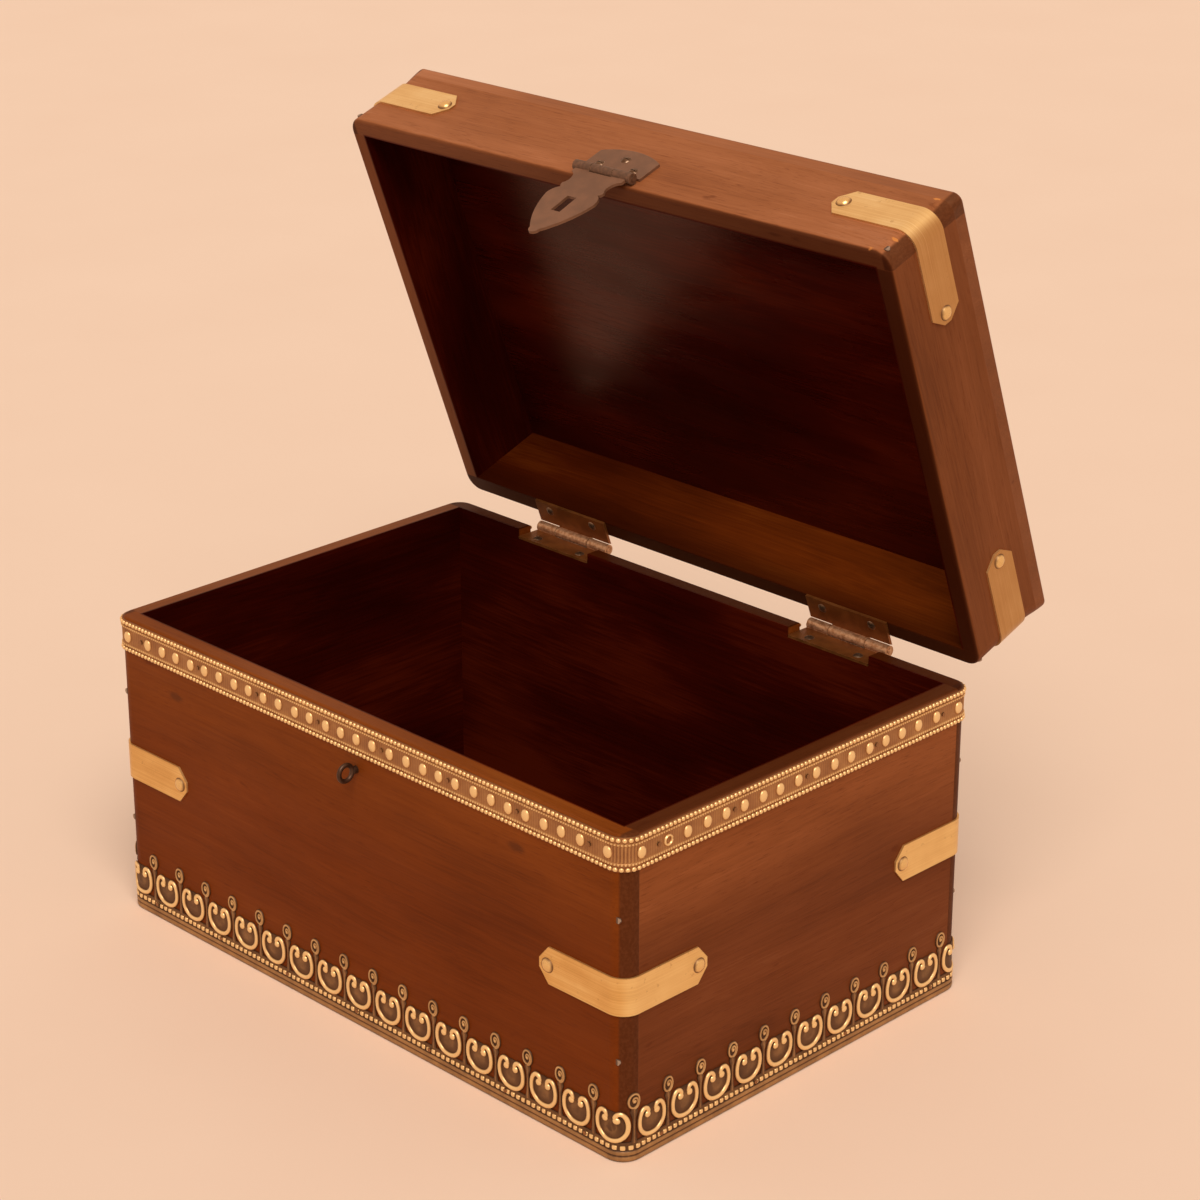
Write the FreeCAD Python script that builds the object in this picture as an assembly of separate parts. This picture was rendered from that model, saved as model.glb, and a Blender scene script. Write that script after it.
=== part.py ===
import FreeCAD, Part
import math
import os

# A hinged wooden storage box with brass trim, standing open.
# Millimetres and degrees. The origin is the centre of the underside, +Z is up, and the front faces -Y.
# The lid is modelled shut and then turned open about the hinge pins.
os.makedirs("parts", exist_ok=True)

# Boards
LENGTH = 305.0
DEPTH = 200.0
BOX_HEIGHT = 138.0
LID_HEIGHT = 45.0
WALL = 8.0
BASE_THICK = 6.0
TOP_THICK = 6.5
CORNER_RADIUS = 7.5
TOP_CORNER_RADIUS = 4.0
TAPER_CLEAR = 0.7
RIM_ROUND = 1.5
TOP_ROUND = 1.2
LID_SEAT_GAP = 0.3
LID_OPEN = 70.0
CUT_PAST = 1.0
LEVEL_TOLERANCE = 1e-6

# Butt hinges
HINGE_LENGTH = 44.0
HINGE_OFFSET = 82.5
HINGE_SETBACK = 6.0
BARREL_RADIUS = 2.5
HINGE_PIN_RADIUS = 1.2
LEAF_THICK = 1.2
MIDDLE_KNUCKLE = 20.0
KNUCKLE_GAP = 0.3
KNUCKLE_RELIEF = 0.5
NOTCH_SIDE_GAP = 0.5
PIN_RUNNING_GAP = 0.05
PIN_END = 0.4
LEAF_SCREW_SPACING = 27.0
LEAF_SCREW_DEPTH = 9.0

# Hasp and staple
HASP_CENTRE = 3.0
HASP_RISE = 2.7
HASP_STANDOFF = 3.0
HASP_BARREL = 32.0
HASP_BARREL_RADIUS = 2.3
HASP_PIN_RADIUS = 1.0
HASP_MIDDLE_KNUCKLE = 12.0
HASP_PLATE_WIDTH = 33.0
HASP_PLATE_SIDE = 15.0
HASP_PLATE_ARCH = 4.0
HASP_THICK = 1.2
HASP_SCREW_SPACING = 19.0
HASP_SCREW_LOW = 6.5
HASP_SCREW_HIGH = 12.5
HASP_SCREW_DEPTH = 6.0
STRAP_TOP_WIDTH = 28.0
STRAP_NECK_WIDTH = 21.0
STRAP_BEAD_WIDTH = 23.5
STRAP_BULGE_WIDTH = 27.0
STRAP_SHOULDER = 4.5
STRAP_WAIST = 9.3
STRAP_BEAD = 12.5
STRAP_LOWER_WAIST = 15.1
STRAP_BULGE = 20.9
STRAP_LENGTH = 44.5
STRAP_TIP_RADIUS = 2.5
STRAP_HOLLOW = 0.9
STRAP_BELLY = 1.6
STRAP_TILT = 2.5
STAPLE_DROP = 24.5
STAPLE_WIRE_RADIUS = 1.0
STAPLE_RING_RADIUS = 3.4
STAPLE_STEM_RADIUS = 1.6
STAPLE_REACH = 9.9
STAPLE_DEPTH = 6.0
SLOT_WIDTH = 5.0
SLOT_END_GAP = 0.7

# Beaded band below the rim
BAND_DROP = 0.8
BAND_HEIGHT = 14.2
BAND_THICK = 0.6
BAND_RAIL_THICK = 1.3
BAND_RAIL_HEIGHT = 2.2
BAND_PIN_PITCH = 41.0

# Scrolled border at the foot
BORDER_RIM_HEIGHT = 4.4
BORDER_RIM_THICK = 1.3
BORDER_STRIP_HEIGHT = 8.2
BORDER_STRIP_THICK = 1.1
BORDER_LEAF_THICK = 0.8
LOOP_LEAD = 0.9
LOOP_PITCH = 18.1
LOOP_WIDTH = 15.4
LOOP_HEIGHT = 14.2
LOOP_WIRE = 2.0
BUD_WIDTH = 5.8
BUD_HEIGHT = 7.5
BUD_TOP = 29.5
BUD_STEM = 1.6
BORDER_SINK = 0.6
BORDER_PIN_PITCH = 48.0

# Brass corner straps
CORNER_LEG = 44.5
CORNER_WIDTH = 16.0
CORNER_TIP_WIDTH = 4.0
CORNER_POINT = 5.0
CORNER_THICK = 0.8
CORNER_NAIL_INSET = 4.5
BOX_CORNER_HEIGHT = 71.0

# Nails, pins and screws
DOME_HEAD_RADIUS = 3.2
DOME_HEAD_HEIGHT = 1.7
DOME_SHANK_RADIUS = 0.8
DOME_SHANK_LENGTH = 6.0
BOARD_NAIL_HEAD_RADIUS = 1.3
BOARD_NAIL_HEAD_HEIGHT = 0.9
BOARD_NAIL_RADIUS = 0.8
BOARD_NAIL_LENGTH = 22.0
BOARD_NAIL_PROUD = 0.3
BOX_NAIL_HEIGHTS = (43.0, 103.0)
LID_NAIL_HEIGHTS = (4.0,)
BASE_NAIL_PITCH = 90.0
TOP_NAIL_PITCH = 90.0
SCREW_HEAD_RADIUS = 2.2
SCREW_HEAD_HEIGHT = 0.9
SCREW_SHANK_RADIUS = 1.2
SCREW_SLOT = 0.5
TRIM_PIN_HEAD_RADIUS = 0.9
TRIM_PIN_HEAD_HEIGHT = 0.4
TRIM_PIN_RADIUS = 0.5
TRIM_PIN_LENGTH = 4.0

# Faces, levels and axes that follow from the sizes above
HALF_X = LENGTH / 2
HALF_Y = DEPTH / 2
INNER_X = HALF_X - WALL
INNER_Y = HALF_Y - WALL
LID_BOTTOM = BOX_HEIGHT + LID_SEAT_GAP
LID_TOP = LID_BOTTOM + LID_HEIGHT
TOP_SEAT = LID_TOP - TOP_THICK
HINGE_Y = HALF_Y + HINGE_SETBACK
HINGE_Z = LID_BOTTOM - BARREL_RADIUS
NOTCH_FLOOR = HINGE_Z - BARREL_RADIUS
HASP_Y = -HALF_Y - HASP_STANDOFF
HASP_Z = LID_BOTTOM + HASP_RISE
STAPLE_Z = HASP_Z - STAPLE_DROP
LID_CORNER_HEIGHT = LID_BOTTOM + LID_HEIGHT / 2
TAPER_START = LID_CORNER_HEIGHT + CORNER_WIDTH / 2 + TAPER_CLEAR
TAPER_END = LID_TOP - TOP_ROUND - TAPER_CLEAR
BAND_TOP = BOX_HEIGHT - BAND_DROP
BAND_BOTTOM = BAND_TOP - BAND_HEIGHT
WALL_MIDDLE_X = HALF_X - WALL / 2
WALL_MIDDLE_Y = HALF_Y - WALL / 2
STRAIGHT_X = LENGTH - 2 * CORNER_RADIUS
STRAIGHT_Y = DEPTH - 2 * CORNER_RADIUS
CORNER_ARC = CORNER_RADIUS * math.pi / 2
BOX_ROUND = 2 * STRAIGHT_X + 2 * STRAIGHT_Y + 4 * CORNER_ARC
BOX_SIDES = (
    (0.0, STRAIGHT_X, HALF_Y),
    (90.0, STRAIGHT_Y, HALF_X),
    (180.0, STRAIGHT_X, HALF_Y),
    (270.0, STRAIGHT_Y, HALF_X),
)
X_AXIS = FreeCAD.Vector(1, 0, 0)
Y_AXIS = FreeCAD.Vector(0, 1, 0)
Z_AXIS = FreeCAD.Vector(0, 0, 1)


def vec(x, y, z):
    return FreeCAD.Vector(x, y, z)


def block(x0, x1, y0, y1, z0, z1):
    """A box between two corners."""
    return Part.makeBox(x1 - x0, y1 - y0, z1 - z0, vec(x0, y0, z0))


def rod(radius, start, end):
    """A round bar from one point to another."""
    run = end - start
    return Part.makeCylinder(radius, run.Length, start, run)


def upright_edges(solid):
    """The edges of a block that stand upright."""
    return [edge for edge in solid.Edges if abs(edge.tangentAt(edge.FirstParameter).z) > 0.5]


def plan_block(half_x, half_y, radius, z0, z1):
    """An upright block whose plan is a rectangle with rounded corners."""
    solid = block(-half_x, half_x, -half_y, half_y, z0, z1)
    return solid.makeFillet(radius, upright_edges(solid))


def ease_level(solid, level, radius):
    """Rounds over every outer edge that lies at one height."""
    edges = []
    for edge in solid.Edges:
        reach = max(abs(edge.BoundBox.ZMin - level), abs(edge.BoundBox.ZMax - level))
        if reach < LEVEL_TOLERANCE:
            edges.append(edge)
    return solid.makeFillet(radius, edges)


def wrap(thick, z0, z1):
    """A band that goes round the outside of the boards."""
    outside = plan_block(HALF_X + thick, HALF_Y + thick, CORNER_RADIUS + thick, z0, z1)
    return outside.cut(plan_block(HALF_X, HALF_Y, CORNER_RADIUS, z0 - CUT_PAST, z1 + CUT_PAST))


def prism(points, sweep):
    """A straight solid swept from a flat outline."""
    return Part.Face(Part.makePolygon(points + points[:1])).extrude(sweep)


def dome(radius, height):
    """A shallow round head, standing on the XY plane."""
    ball = (radius ** 2 + height ** 2) / (2 * height)
    latitude = math.degrees(math.asin((ball - height) / ball))
    return Part.makeSphere(ball, vec(0, 0, height - ball), Z_AXIS, latitude, 90, 360)


def aim(solid, place, outward):
    """Turns a fastener made along +Z to face outward, and puts it in its place."""
    turned = solid.copy()
    turned.Placement = FreeCAD.Placement(place, FreeCAD.Rotation(Z_AXIS, outward))
    return turned


def domed_nail(place, outward, thick):
    """A dome-headed nail through a sheet whose back lies on the wood."""
    shank = rod(DOME_SHANK_RADIUS, vec(0, 0, -DOME_SHANK_LENGTH), vec(0, 0, thick + DOME_HEAD_HEIGHT / 2))
    head = dome(DOME_HEAD_RADIUS, DOME_HEAD_HEIGHT)
    head.translate(vec(0, 0, thick))
    return aim(head.fuse(shank), place, outward)


def board_nail(place, outward):
    """A flat-headed nail sunk to the surface of a board."""
    head = rod(BOARD_NAIL_HEAD_RADIUS, vec(0, 0, -BOARD_NAIL_HEAD_HEIGHT), vec(0, 0, 0))
    shank = rod(BOARD_NAIL_RADIUS, vec(0, 0, -BOARD_NAIL_LENGTH), vec(0, 0, -BOARD_NAIL_HEAD_HEIGHT / 2))
    return aim(head.fuse(shank), place, outward)


def trim_pin(place, outward, thick):
    """A small pin that holds pressed trim of the given thickness to the wood."""
    head = rod(TRIM_PIN_HEAD_RADIUS, vec(0, 0, thick), vec(0, 0, thick + TRIM_PIN_HEAD_HEIGHT))
    shank = rod(TRIM_PIN_RADIUS, vec(0, 0, -TRIM_PIN_LENGTH), vec(0, 0, thick + TRIM_PIN_HEAD_HEIGHT / 2))
    return aim(head.fuse(shank), place, outward)


def slotted_screw(place, outward, thick, depth):
    """A round-headed slotted screw through a leaf of the given thickness."""
    shank = rod(SCREW_SHANK_RADIUS, vec(0, 0, -depth), vec(0, 0, thick + SCREW_HEAD_HEIGHT / 2))
    head = dome(SCREW_HEAD_RADIUS, SCREW_HEAD_HEIGHT)
    head.translate(vec(0, 0, thick))
    slot_floor = thick + SCREW_HEAD_HEIGHT - SCREW_SLOT
    half = SCREW_SLOT / 2
    reach = SCREW_HEAD_RADIUS + CUT_PAST
    slot = block(-reach, reach, -half, half, slot_floor, slot_floor + SCREW_HEAD_HEIGHT)
    return aim(head.fuse(shank).cut(slot), place, outward)


def spread(span, pitch):
    """Evenly spaced places along a span, centred, at about the given pitch."""
    count = max(2, int(round(span / pitch)) + 1)
    return [-span / 2 + span * step / (count - 1) for step in range(count)]


def group(solids):
    return Part.makeCompound(solids)


def box_boards():
    """Front and back run the full length; the sides and base fit between them."""
    outline = plan_block(HALF_X, HALF_Y, CORNER_RADIUS, 0, BOX_HEIGHT)
    outline = ease_level(outline, BOX_HEIGHT, RIM_ROUND)
    return {
        "front_board": outline.common(block(-HALF_X, HALF_X, -HALF_Y, -INNER_Y, 0, BOX_HEIGHT)),
        "back_board": outline.common(block(-HALF_X, HALF_X, INNER_Y, HALF_Y, 0, BOX_HEIGHT)),
        "left_board": outline.common(block(-HALF_X, -INNER_X, -INNER_Y, INNER_Y, 0, BOX_HEIGHT)),
        "right_board": outline.common(block(INNER_X, HALF_X, -INNER_Y, INNER_Y, 0, BOX_HEIGHT)),
        "base_panel": block(-INNER_X, INNER_X, -INNER_Y, INNER_Y, 0, BASE_THICK),
    }


def lid_block():
    """The lid's outside as one block: rounded like the box up to the straps, crisper at the corners above them."""
    low = plan_block(HALF_X, HALF_Y, CORNER_RADIUS, LID_BOTTOM, TAPER_START)
    high = plan_block(HALF_X, HALF_Y, TOP_CORNER_RADIUS, TAPER_END, LID_TOP)
    taper = block(-HALF_X, HALF_X, -HALF_Y, HALF_Y, TAPER_START, TAPER_END)
    taper = taper.makeFillet(CORNER_RADIUS, TOP_CORNER_RADIUS, upright_edges(taper))
    low = ease_level(low, LID_BOTTOM, RIM_ROUND)
    high = ease_level(high, LID_TOP, TOP_ROUND)
    return low.fuse([taper, high]).removeSplitter()


def lid_boards():
    """A shallow frame of four boards, and the top panel laid over it."""
    outline = lid_block()
    return {
        "lid_front_board": outline.common(block(-HALF_X, HALF_X, -HALF_Y, -INNER_Y, LID_BOTTOM, TOP_SEAT)),
        "lid_back_board": outline.common(block(-HALF_X, HALF_X, INNER_Y, HALF_Y, LID_BOTTOM, TOP_SEAT)),
        "lid_left_board": outline.common(block(-HALF_X, -INNER_X, -INNER_Y, INNER_Y, LID_BOTTOM, TOP_SEAT)),
        "lid_right_board": outline.common(block(INNER_X, HALF_X, -INNER_Y, INNER_Y, LID_BOTTOM, TOP_SEAT)),
        "lid_top_panel": outline.common(block(-HALF_X, HALF_X, -HALF_Y, HALF_Y, TOP_SEAT, LID_TOP)),
    }


def corner_nails(heights):
    """Nails through the ends of the front and back boards into the side boards."""
    run = WALL_MIDDLE_X - (HALF_X - CORNER_RADIUS)
    fall = CORNER_RADIUS - math.sqrt(CORNER_RADIUS ** 2 - max(run, 0.0) ** 2)
    face = HALF_Y - fall + BOARD_NAIL_PROUD
    nails = []
    for x in (-WALL_MIDDLE_X, WALL_MIDDLE_X):
        for z in heights:
            nails.append(board_nail(vec(x, -face, z), -Y_AXIS))
            nails.append(board_nail(vec(x, face, z), Y_AXIS))
    return nails


def base_nails():
    """Nails through the four walls into the edges of the base."""
    z = BASE_THICK / 2
    nails = []
    for x in spread(2 * INNER_X - BASE_NAIL_PITCH / 2, BASE_NAIL_PITCH):
        nails.append(board_nail(vec(x, -HALF_Y, z), -Y_AXIS))
        nails.append(board_nail(vec(x, HALF_Y, z), Y_AXIS))
    for y in spread(2 * INNER_Y - BASE_NAIL_PITCH / 2, BASE_NAIL_PITCH):
        nails.append(board_nail(vec(-HALF_X, y, z), -X_AXIS))
        nails.append(board_nail(vec(HALF_X, y, z), X_AXIS))
    return nails


def top_nails():
    """Nails down through the top panel into the lid's walls."""
    nails = []
    for x in spread(2 * INNER_X - TOP_NAIL_PITCH / 2, TOP_NAIL_PITCH):
        nails.append(board_nail(vec(x, -WALL_MIDDLE_Y, LID_TOP), Z_AXIS))
        nails.append(board_nail(vec(x, WALL_MIDDLE_Y, LID_TOP), Z_AXIS))
    for y in spread(2 * INNER_Y - TOP_NAIL_PITCH / 2, TOP_NAIL_PITCH):
        nails.append(board_nail(vec(-WALL_MIDDLE_X, y, LID_TOP), Z_AXIS))
        nails.append(board_nail(vec(WALL_MIDDLE_X, y, LID_TOP), Z_AXIS))
    return nails


def hinge_notch(centre):
    """The recess through the back board that takes one hinge."""
    half = HINGE_LENGTH / 2 + NOTCH_SIDE_GAP
    inside = INNER_Y - CUT_PAST
    above = BOX_HEIGHT + CUT_PAST
    return block(centre - half, centre + half, inside, HINGE_Y, NOTCH_FLOOR, above)


def hinge_bar(radius, x0, x1):
    """A round bar on the hinge axis."""
    return rod(radius, vec(x0, HINGE_Y, HINGE_Z), vec(x1, HINGE_Y, HINGE_Z))


def hasp_bar(radius, x0, x1):
    """A round bar on the hasp's axis, measured along it from the hasp's centre."""
    return rod(radius, vec(HASP_CENTRE + x0, HASP_Y, HASP_Z), vec(HASP_CENTRE + x1, HASP_Y, HASP_Z))


def leaf(centre, spans, bore, underside):
    """One hinge leaf: a flat plate tangent to the barrel, with knuckles on the given spans of its length."""
    half = HINGE_LENGTH / 2
    plate = block(centre - half, centre + half, INNER_Y, HINGE_Y, underside, underside + LEAF_THICK)
    relief = BARREL_RADIUS + KNUCKLE_RELIEF
    past = half + CUT_PAST
    body = plate.cut(hinge_bar(relief, centre - past, centre + past))
    for start, end in spans:
        x0 = centre + start
        x1 = centre + end
        tab = block(x0, x1, HINGE_Y - relief - CUT_PAST, HINGE_Y, underside, underside + LEAF_THICK)
        body = body.fuse(hinge_bar(BARREL_RADIUS, x0, x1)).fuse(tab)
    return body.cut(hinge_bar(bore, centre - past, centre + past)).removeSplitter()


def leaf_screws(centre, level, outward):
    """The two screws of one hinge leaf, standing on the wood at a level."""
    screws = []
    for x in (centre - LEAF_SCREW_SPACING / 2, centre + LEAF_SCREW_SPACING / 2):
        screws.append(slotted_screw(vec(x, WALL_MIDDLE_Y, level), outward, LEAF_THICK, LEAF_SCREW_DEPTH))
    return screws


def hinge(centre):
    """Box leaf, lid leaf and pin of one hinge."""
    end = HINGE_LENGTH / 2
    middle = MIDDLE_KNUCKLE / 2
    outer = [(-end, -middle - KNUCKLE_GAP), (middle + KNUCKLE_GAP, end)]
    box_leaf = leaf(centre, outer, HINGE_PIN_RADIUS, NOTCH_FLOOR)
    lid_leaf = leaf(centre, [(-middle, middle)], HINGE_PIN_RADIUS + PIN_RUNNING_GAP, LID_BOTTOM - LEAF_THICK)
    reach = end + PIN_END
    pin = hinge_bar(HINGE_PIN_RADIUS, centre - reach, centre + reach)
    return box_leaf, lid_leaf, pin


def hasp_plate():
    """The fixed plate on the lid, arched at the top, with the middle knuckle."""
    half = HASP_PLATE_WIDTH / 2
    back = -HALF_Y
    low = HASP_Z + HASP_BARREL_RADIUS + KNUCKLE_RELIEF
    side = HASP_Z + HASP_PLATE_SIDE
    corner_left = vec(HASP_CENTRE - half, back, side)
    corner_right = vec(HASP_CENTRE + half, back, side)
    crown = vec(HASP_CENTRE, back, side + HASP_PLATE_ARCH)
    foot_left = vec(HASP_CENTRE - half, back, low)
    foot_right = vec(HASP_CENTRE + half, back, low)
    outline = Part.Wire([
        Part.makeLine(foot_left, foot_right),
        Part.makeLine(foot_right, corner_right),
        Part.Arc(corner_right, crown, corner_left).toShape(),
        Part.makeLine(corner_left, foot_left),
    ])
    plate = Part.Face(outline).extrude(vec(0, -HASP_THICK, 0))
    middle = HASP_MIDDLE_KNUCKLE / 2
    past = middle + CUT_PAST
    tab = block(HASP_CENTRE - middle, HASP_CENTRE + middle, back - HASP_THICK, back, HASP_Z, low + CUT_PAST)
    knuckle = hasp_bar(HASP_BARREL_RADIUS, -middle, middle)
    return plate.fuse(tab).fuse(knuckle).cut(hasp_bar(HASP_PIN_RADIUS, -past, past)).removeSplitter()


def bowed(start, end, rise):
    """An arc between two points of the XZ plane that rises to the left of its run, seen from the front."""
    run = end - start
    across = vec(-run.z, 0, run.x).normalize()
    return Part.Arc(start, (start + end) / 2 + across * rise, end).toShape()


def strap_side(sign):
    """One edge of the hasp strap, from the barrel down to the tip."""

    def at(width, down):
        return vec(HASP_CENTRE + sign * width / 2, HASP_Y, HASP_Z - down)

    top = at(STRAP_TOP_WIDTH, 0)
    shoulder = at(STRAP_TOP_WIDTH, STRAP_SHOULDER)
    waist = at(STRAP_NECK_WIDTH, STRAP_WAIST)
    bead = at(STRAP_BEAD_WIDTH, STRAP_BEAD)
    lower_waist = at(STRAP_NECK_WIDTH, STRAP_LOWER_WAIST)
    bulge = at(STRAP_BULGE_WIDTH, STRAP_BULGE)
    tip = at(2 * STRAP_TIP_RADIUS, STRAP_LENGTH - STRAP_TIP_RADIUS)
    return [
        Part.makeLine(top, shoulder),
        bowed(shoulder, waist, -sign * STRAP_HOLLOW),
        bowed(waist, bead, -sign * STRAP_HOLLOW / 2),
        bowed(bead, lower_waist, sign * STRAP_HOLLOW / 2),
        bowed(lower_waist, bulge, sign * STRAP_HOLLOW),
        bowed(bulge, tip, sign * STRAP_BELLY),
    ]


def hasp_strap():
    """The swinging strap: a spearhead plate on two knuckles, with a slot for the staple."""
    right = strap_side(1)
    left = strap_side(-1)
    tip_level = HASP_Z - STRAP_LENGTH + STRAP_TIP_RADIUS
    tip = Part.Arc(
        vec(HASP_CENTRE + STRAP_TIP_RADIUS, HASP_Y, tip_level),
        vec(HASP_CENTRE, HASP_Y, tip_level - STRAP_TIP_RADIUS),
        vec(HASP_CENTRE - STRAP_TIP_RADIUS, HASP_Y, tip_level),
    ).toShape()
    head = Part.makeLine(right[0].valueAt(right[0].FirstParameter), left[0].valueAt(left[0].FirstParameter))
    outline = Part.Wire(Part.__sortEdges__([head] + right + [tip] + left))
    plate = Part.Face(outline).extrude(vec(0, HASP_THICK, 0))
    plate.translate(vec(0, -HASP_THICK / 2, 0))
    middle = HASP_MIDDLE_KNUCKLE / 2 + KNUCKLE_GAP
    clear = HASP_BARREL_RADIUS + KNUCKLE_RELIEF
    room = block(-middle, middle, -clear, clear, -clear, clear)
    room.translate(vec(HASP_CENTRE, HASP_Y, HASP_Z))
    slot_half = STAPLE_RING_RADIUS + STAPLE_WIRE_RADIUS + SLOT_END_GAP
    slot = block(-SLOT_WIDTH / 2, SLOT_WIDTH / 2, -HASP_THICK, HASP_THICK, -slot_half, slot_half)
    slot.translate(vec(HASP_CENTRE, HASP_Y, STAPLE_Z))
    end = HASP_BARREL / 2
    past = end + CUT_PAST
    body = plate.cut(room).cut(slot)
    for x0, x1 in ((-end, -middle), (middle, end)):
        body = body.fuse(hasp_bar(HASP_BARREL_RADIUS, x0, x1))
    body = body.cut(hasp_bar(HASP_PIN_RADIUS + PIN_RUNNING_GAP, -past, past)).removeSplitter()
    body.rotate(vec(HASP_CENTRE, HASP_Y, HASP_Z), X_AXIS, STRAP_TILT)
    return body


def hasp_pin():
    reach = HASP_BARREL / 2 + PIN_END
    return hasp_bar(HASP_PIN_RADIUS, -reach, reach)


def hasp_screws():
    """Two low screws and one high one through the plate into the lid's front board."""
    half = HASP_SCREW_SPACING / 2
    places = ((-half, HASP_SCREW_LOW), (half, HASP_SCREW_LOW), (0.0, HASP_SCREW_HIGH))
    return [slotted_screw(vec(HASP_CENTRE + x, -HALF_Y, HASP_Z + up), -Y_AXIS, HASP_THICK, HASP_SCREW_DEPTH)
            for x, up in places]


def staple():
    """A pin eye that stands out of the front board: an upright ring on a stem."""
    middle = vec(HASP_CENTRE, STAPLE_RING_RADIUS + STAPLE_WIRE_RADIUS - HALF_Y - STAPLE_REACH, STAPLE_Z)
    ring = Part.makeTorus(STAPLE_RING_RADIUS, STAPLE_WIRE_RADIUS, middle, X_AXIS)
    root = vec(HASP_CENTRE, STAPLE_DEPTH - HALF_Y, STAPLE_Z)
    stem = rod(STAPLE_STEM_RADIUS, root, middle + Y_AXIS * STAPLE_RING_RADIUS)
    return ring.fuse(stem).removeSplitter()


def beaded_band():
    """A pressed strip round the box: a thin web between two raised edges, cut away at the hinges."""
    web = wrap(BAND_THICK, BAND_BOTTOM, BAND_TOP)
    low = wrap(BAND_RAIL_THICK, BAND_BOTTOM, BAND_BOTTOM + BAND_RAIL_HEIGHT)
    high = wrap(BAND_RAIL_THICK, BAND_TOP - BAND_RAIL_HEIGHT, BAND_TOP)
    band = web.fuse(low).fuse(high)
    for centre in (-HINGE_OFFSET, HINGE_OFFSET):
        band = band.cut(hinge_notch(centre))
    return band.removeSplitter()


def ellipse_plate(width, height, centre_z, behind):
    """A flat oval standing in the XZ plane, from a depth behind it to the leaf's thickness before it."""
    wide = width / 2
    tall = height / 2
    centre = vec(0, behind, centre_z)
    if wide >= tall:
        curve = Part.Ellipse(vec(wide, behind, centre_z), vec(0, behind, centre_z + tall), centre)
    else:
        curve = Part.Ellipse(vec(0, behind, centre_z + tall), vec(wide, behind, centre_z), centre)
    return Part.Face(Part.Wire([curve.toShape()])).extrude(vec(0, -behind - BORDER_LEAF_THICK, 0))


def scroll_unit(behind):
    """One open loop of the border, at the middle of the XZ plane."""
    centre = BORDER_STRIP_HEIGHT - BORDER_SINK + LOOP_HEIGHT / 2
    outer = ellipse_plate(LOOP_WIDTH, LOOP_HEIGHT, centre, behind)
    inner = ellipse_plate(LOOP_WIDTH - 2 * LOOP_WIRE, LOOP_HEIGHT - 2 * LOOP_WIRE, centre, behind)
    return outer.cut(inner)


def bud_unit(behind):
    """One small bud on its stem, which stands between two loops."""
    oval = ellipse_plate(BUD_WIDTH, BUD_HEIGHT, BUD_TOP - BUD_HEIGHT / 2, behind)
    half = BUD_STEM / 2
    root = BORDER_STRIP_HEIGHT - BORDER_SINK
    stem = block(-half, half, -BORDER_LEAF_THICK, behind, root, BUD_TOP - BUD_HEIGHT + BORDER_SINK)
    return oval.fuse(stem)


def border_unit(make, width, run, sheet):
    """A loop or bud at its place round the box; near a corner it is bent with the sheet."""
    rest = run % BOX_ROUND
    for turn, length, face in BOX_SIDES:
        if rest < length + CORNER_ARC:
            break
        rest -= length + CORNER_ARC
    bend = max(rest - length, 0.0) / CORNER_RADIUS
    bent = rest < width / 2 or rest > length - width / 2
    unit = make(CORNER_RADIUS if bent else 0.0)
    unit.rotate(vec(0, 0, 0), Z_AXIS, math.degrees(bend))
    x = min(rest, length) - length / 2 + CORNER_RADIUS * math.sin(bend)
    y = CORNER_RADIUS - face - CORNER_RADIUS * math.cos(bend)
    unit.translate(vec(x, y, 0))
    unit.rotate(vec(0, 0, 0), Z_AXIS, turn)
    return unit.common(sheet) if bent else unit


def scroll_border():
    """A pressed border round the foot: rim, strip, and a row of loops and buds right round."""
    rim = wrap(BORDER_RIM_THICK, 0, BORDER_RIM_HEIGHT)
    strip = wrap(BORDER_STRIP_THICK, BORDER_RIM_HEIGHT - BORDER_SINK, BORDER_STRIP_HEIGHT)
    sheet = wrap(BORDER_LEAF_THICK, 0, BUD_TOP + CUT_PAST)
    count = max(1, int(round(BOX_ROUND / LOOP_PITCH)))
    pitch = BOX_ROUND / count
    pieces = [strip]
    for step in range(count):
        run = LOOP_LEAD + step * pitch
        pieces.append(border_unit(scroll_unit, LOOP_WIDTH, run, sheet))
        pieces.append(border_unit(bud_unit, BUD_WIDTH, run + pitch / 2, sheet))
    return rim.multiFuse(pieces).removeSplitter()


def trim_pins(level, thick, pitch):
    """Small pins at one height, even along the front and sides, and clear of the hinge screws at the back."""
    run_x = LENGTH - 2 * CORNER_RADIUS - pitch / 2
    run_y = DEPTH - 2 * CORNER_RADIUS - pitch / 2
    pins = []
    for x in spread(run_x, pitch):
        pins.append(trim_pin(vec(x, -HALF_Y, level), -Y_AXIS, thick))
    for x in (-run_x / 2, -HINGE_OFFSET, 0.0, HINGE_OFFSET, run_x / 2):
        pins.append(trim_pin(vec(x, HALF_Y, level), Y_AXIS, thick))
    for y in spread(run_y, pitch):
        pins.append(trim_pin(vec(-HALF_X, y, level), -X_AXIS, thick))
        pins.append(trim_pin(vec(HALF_X, y, level), X_AXIS, thick))
    return pins


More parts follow.
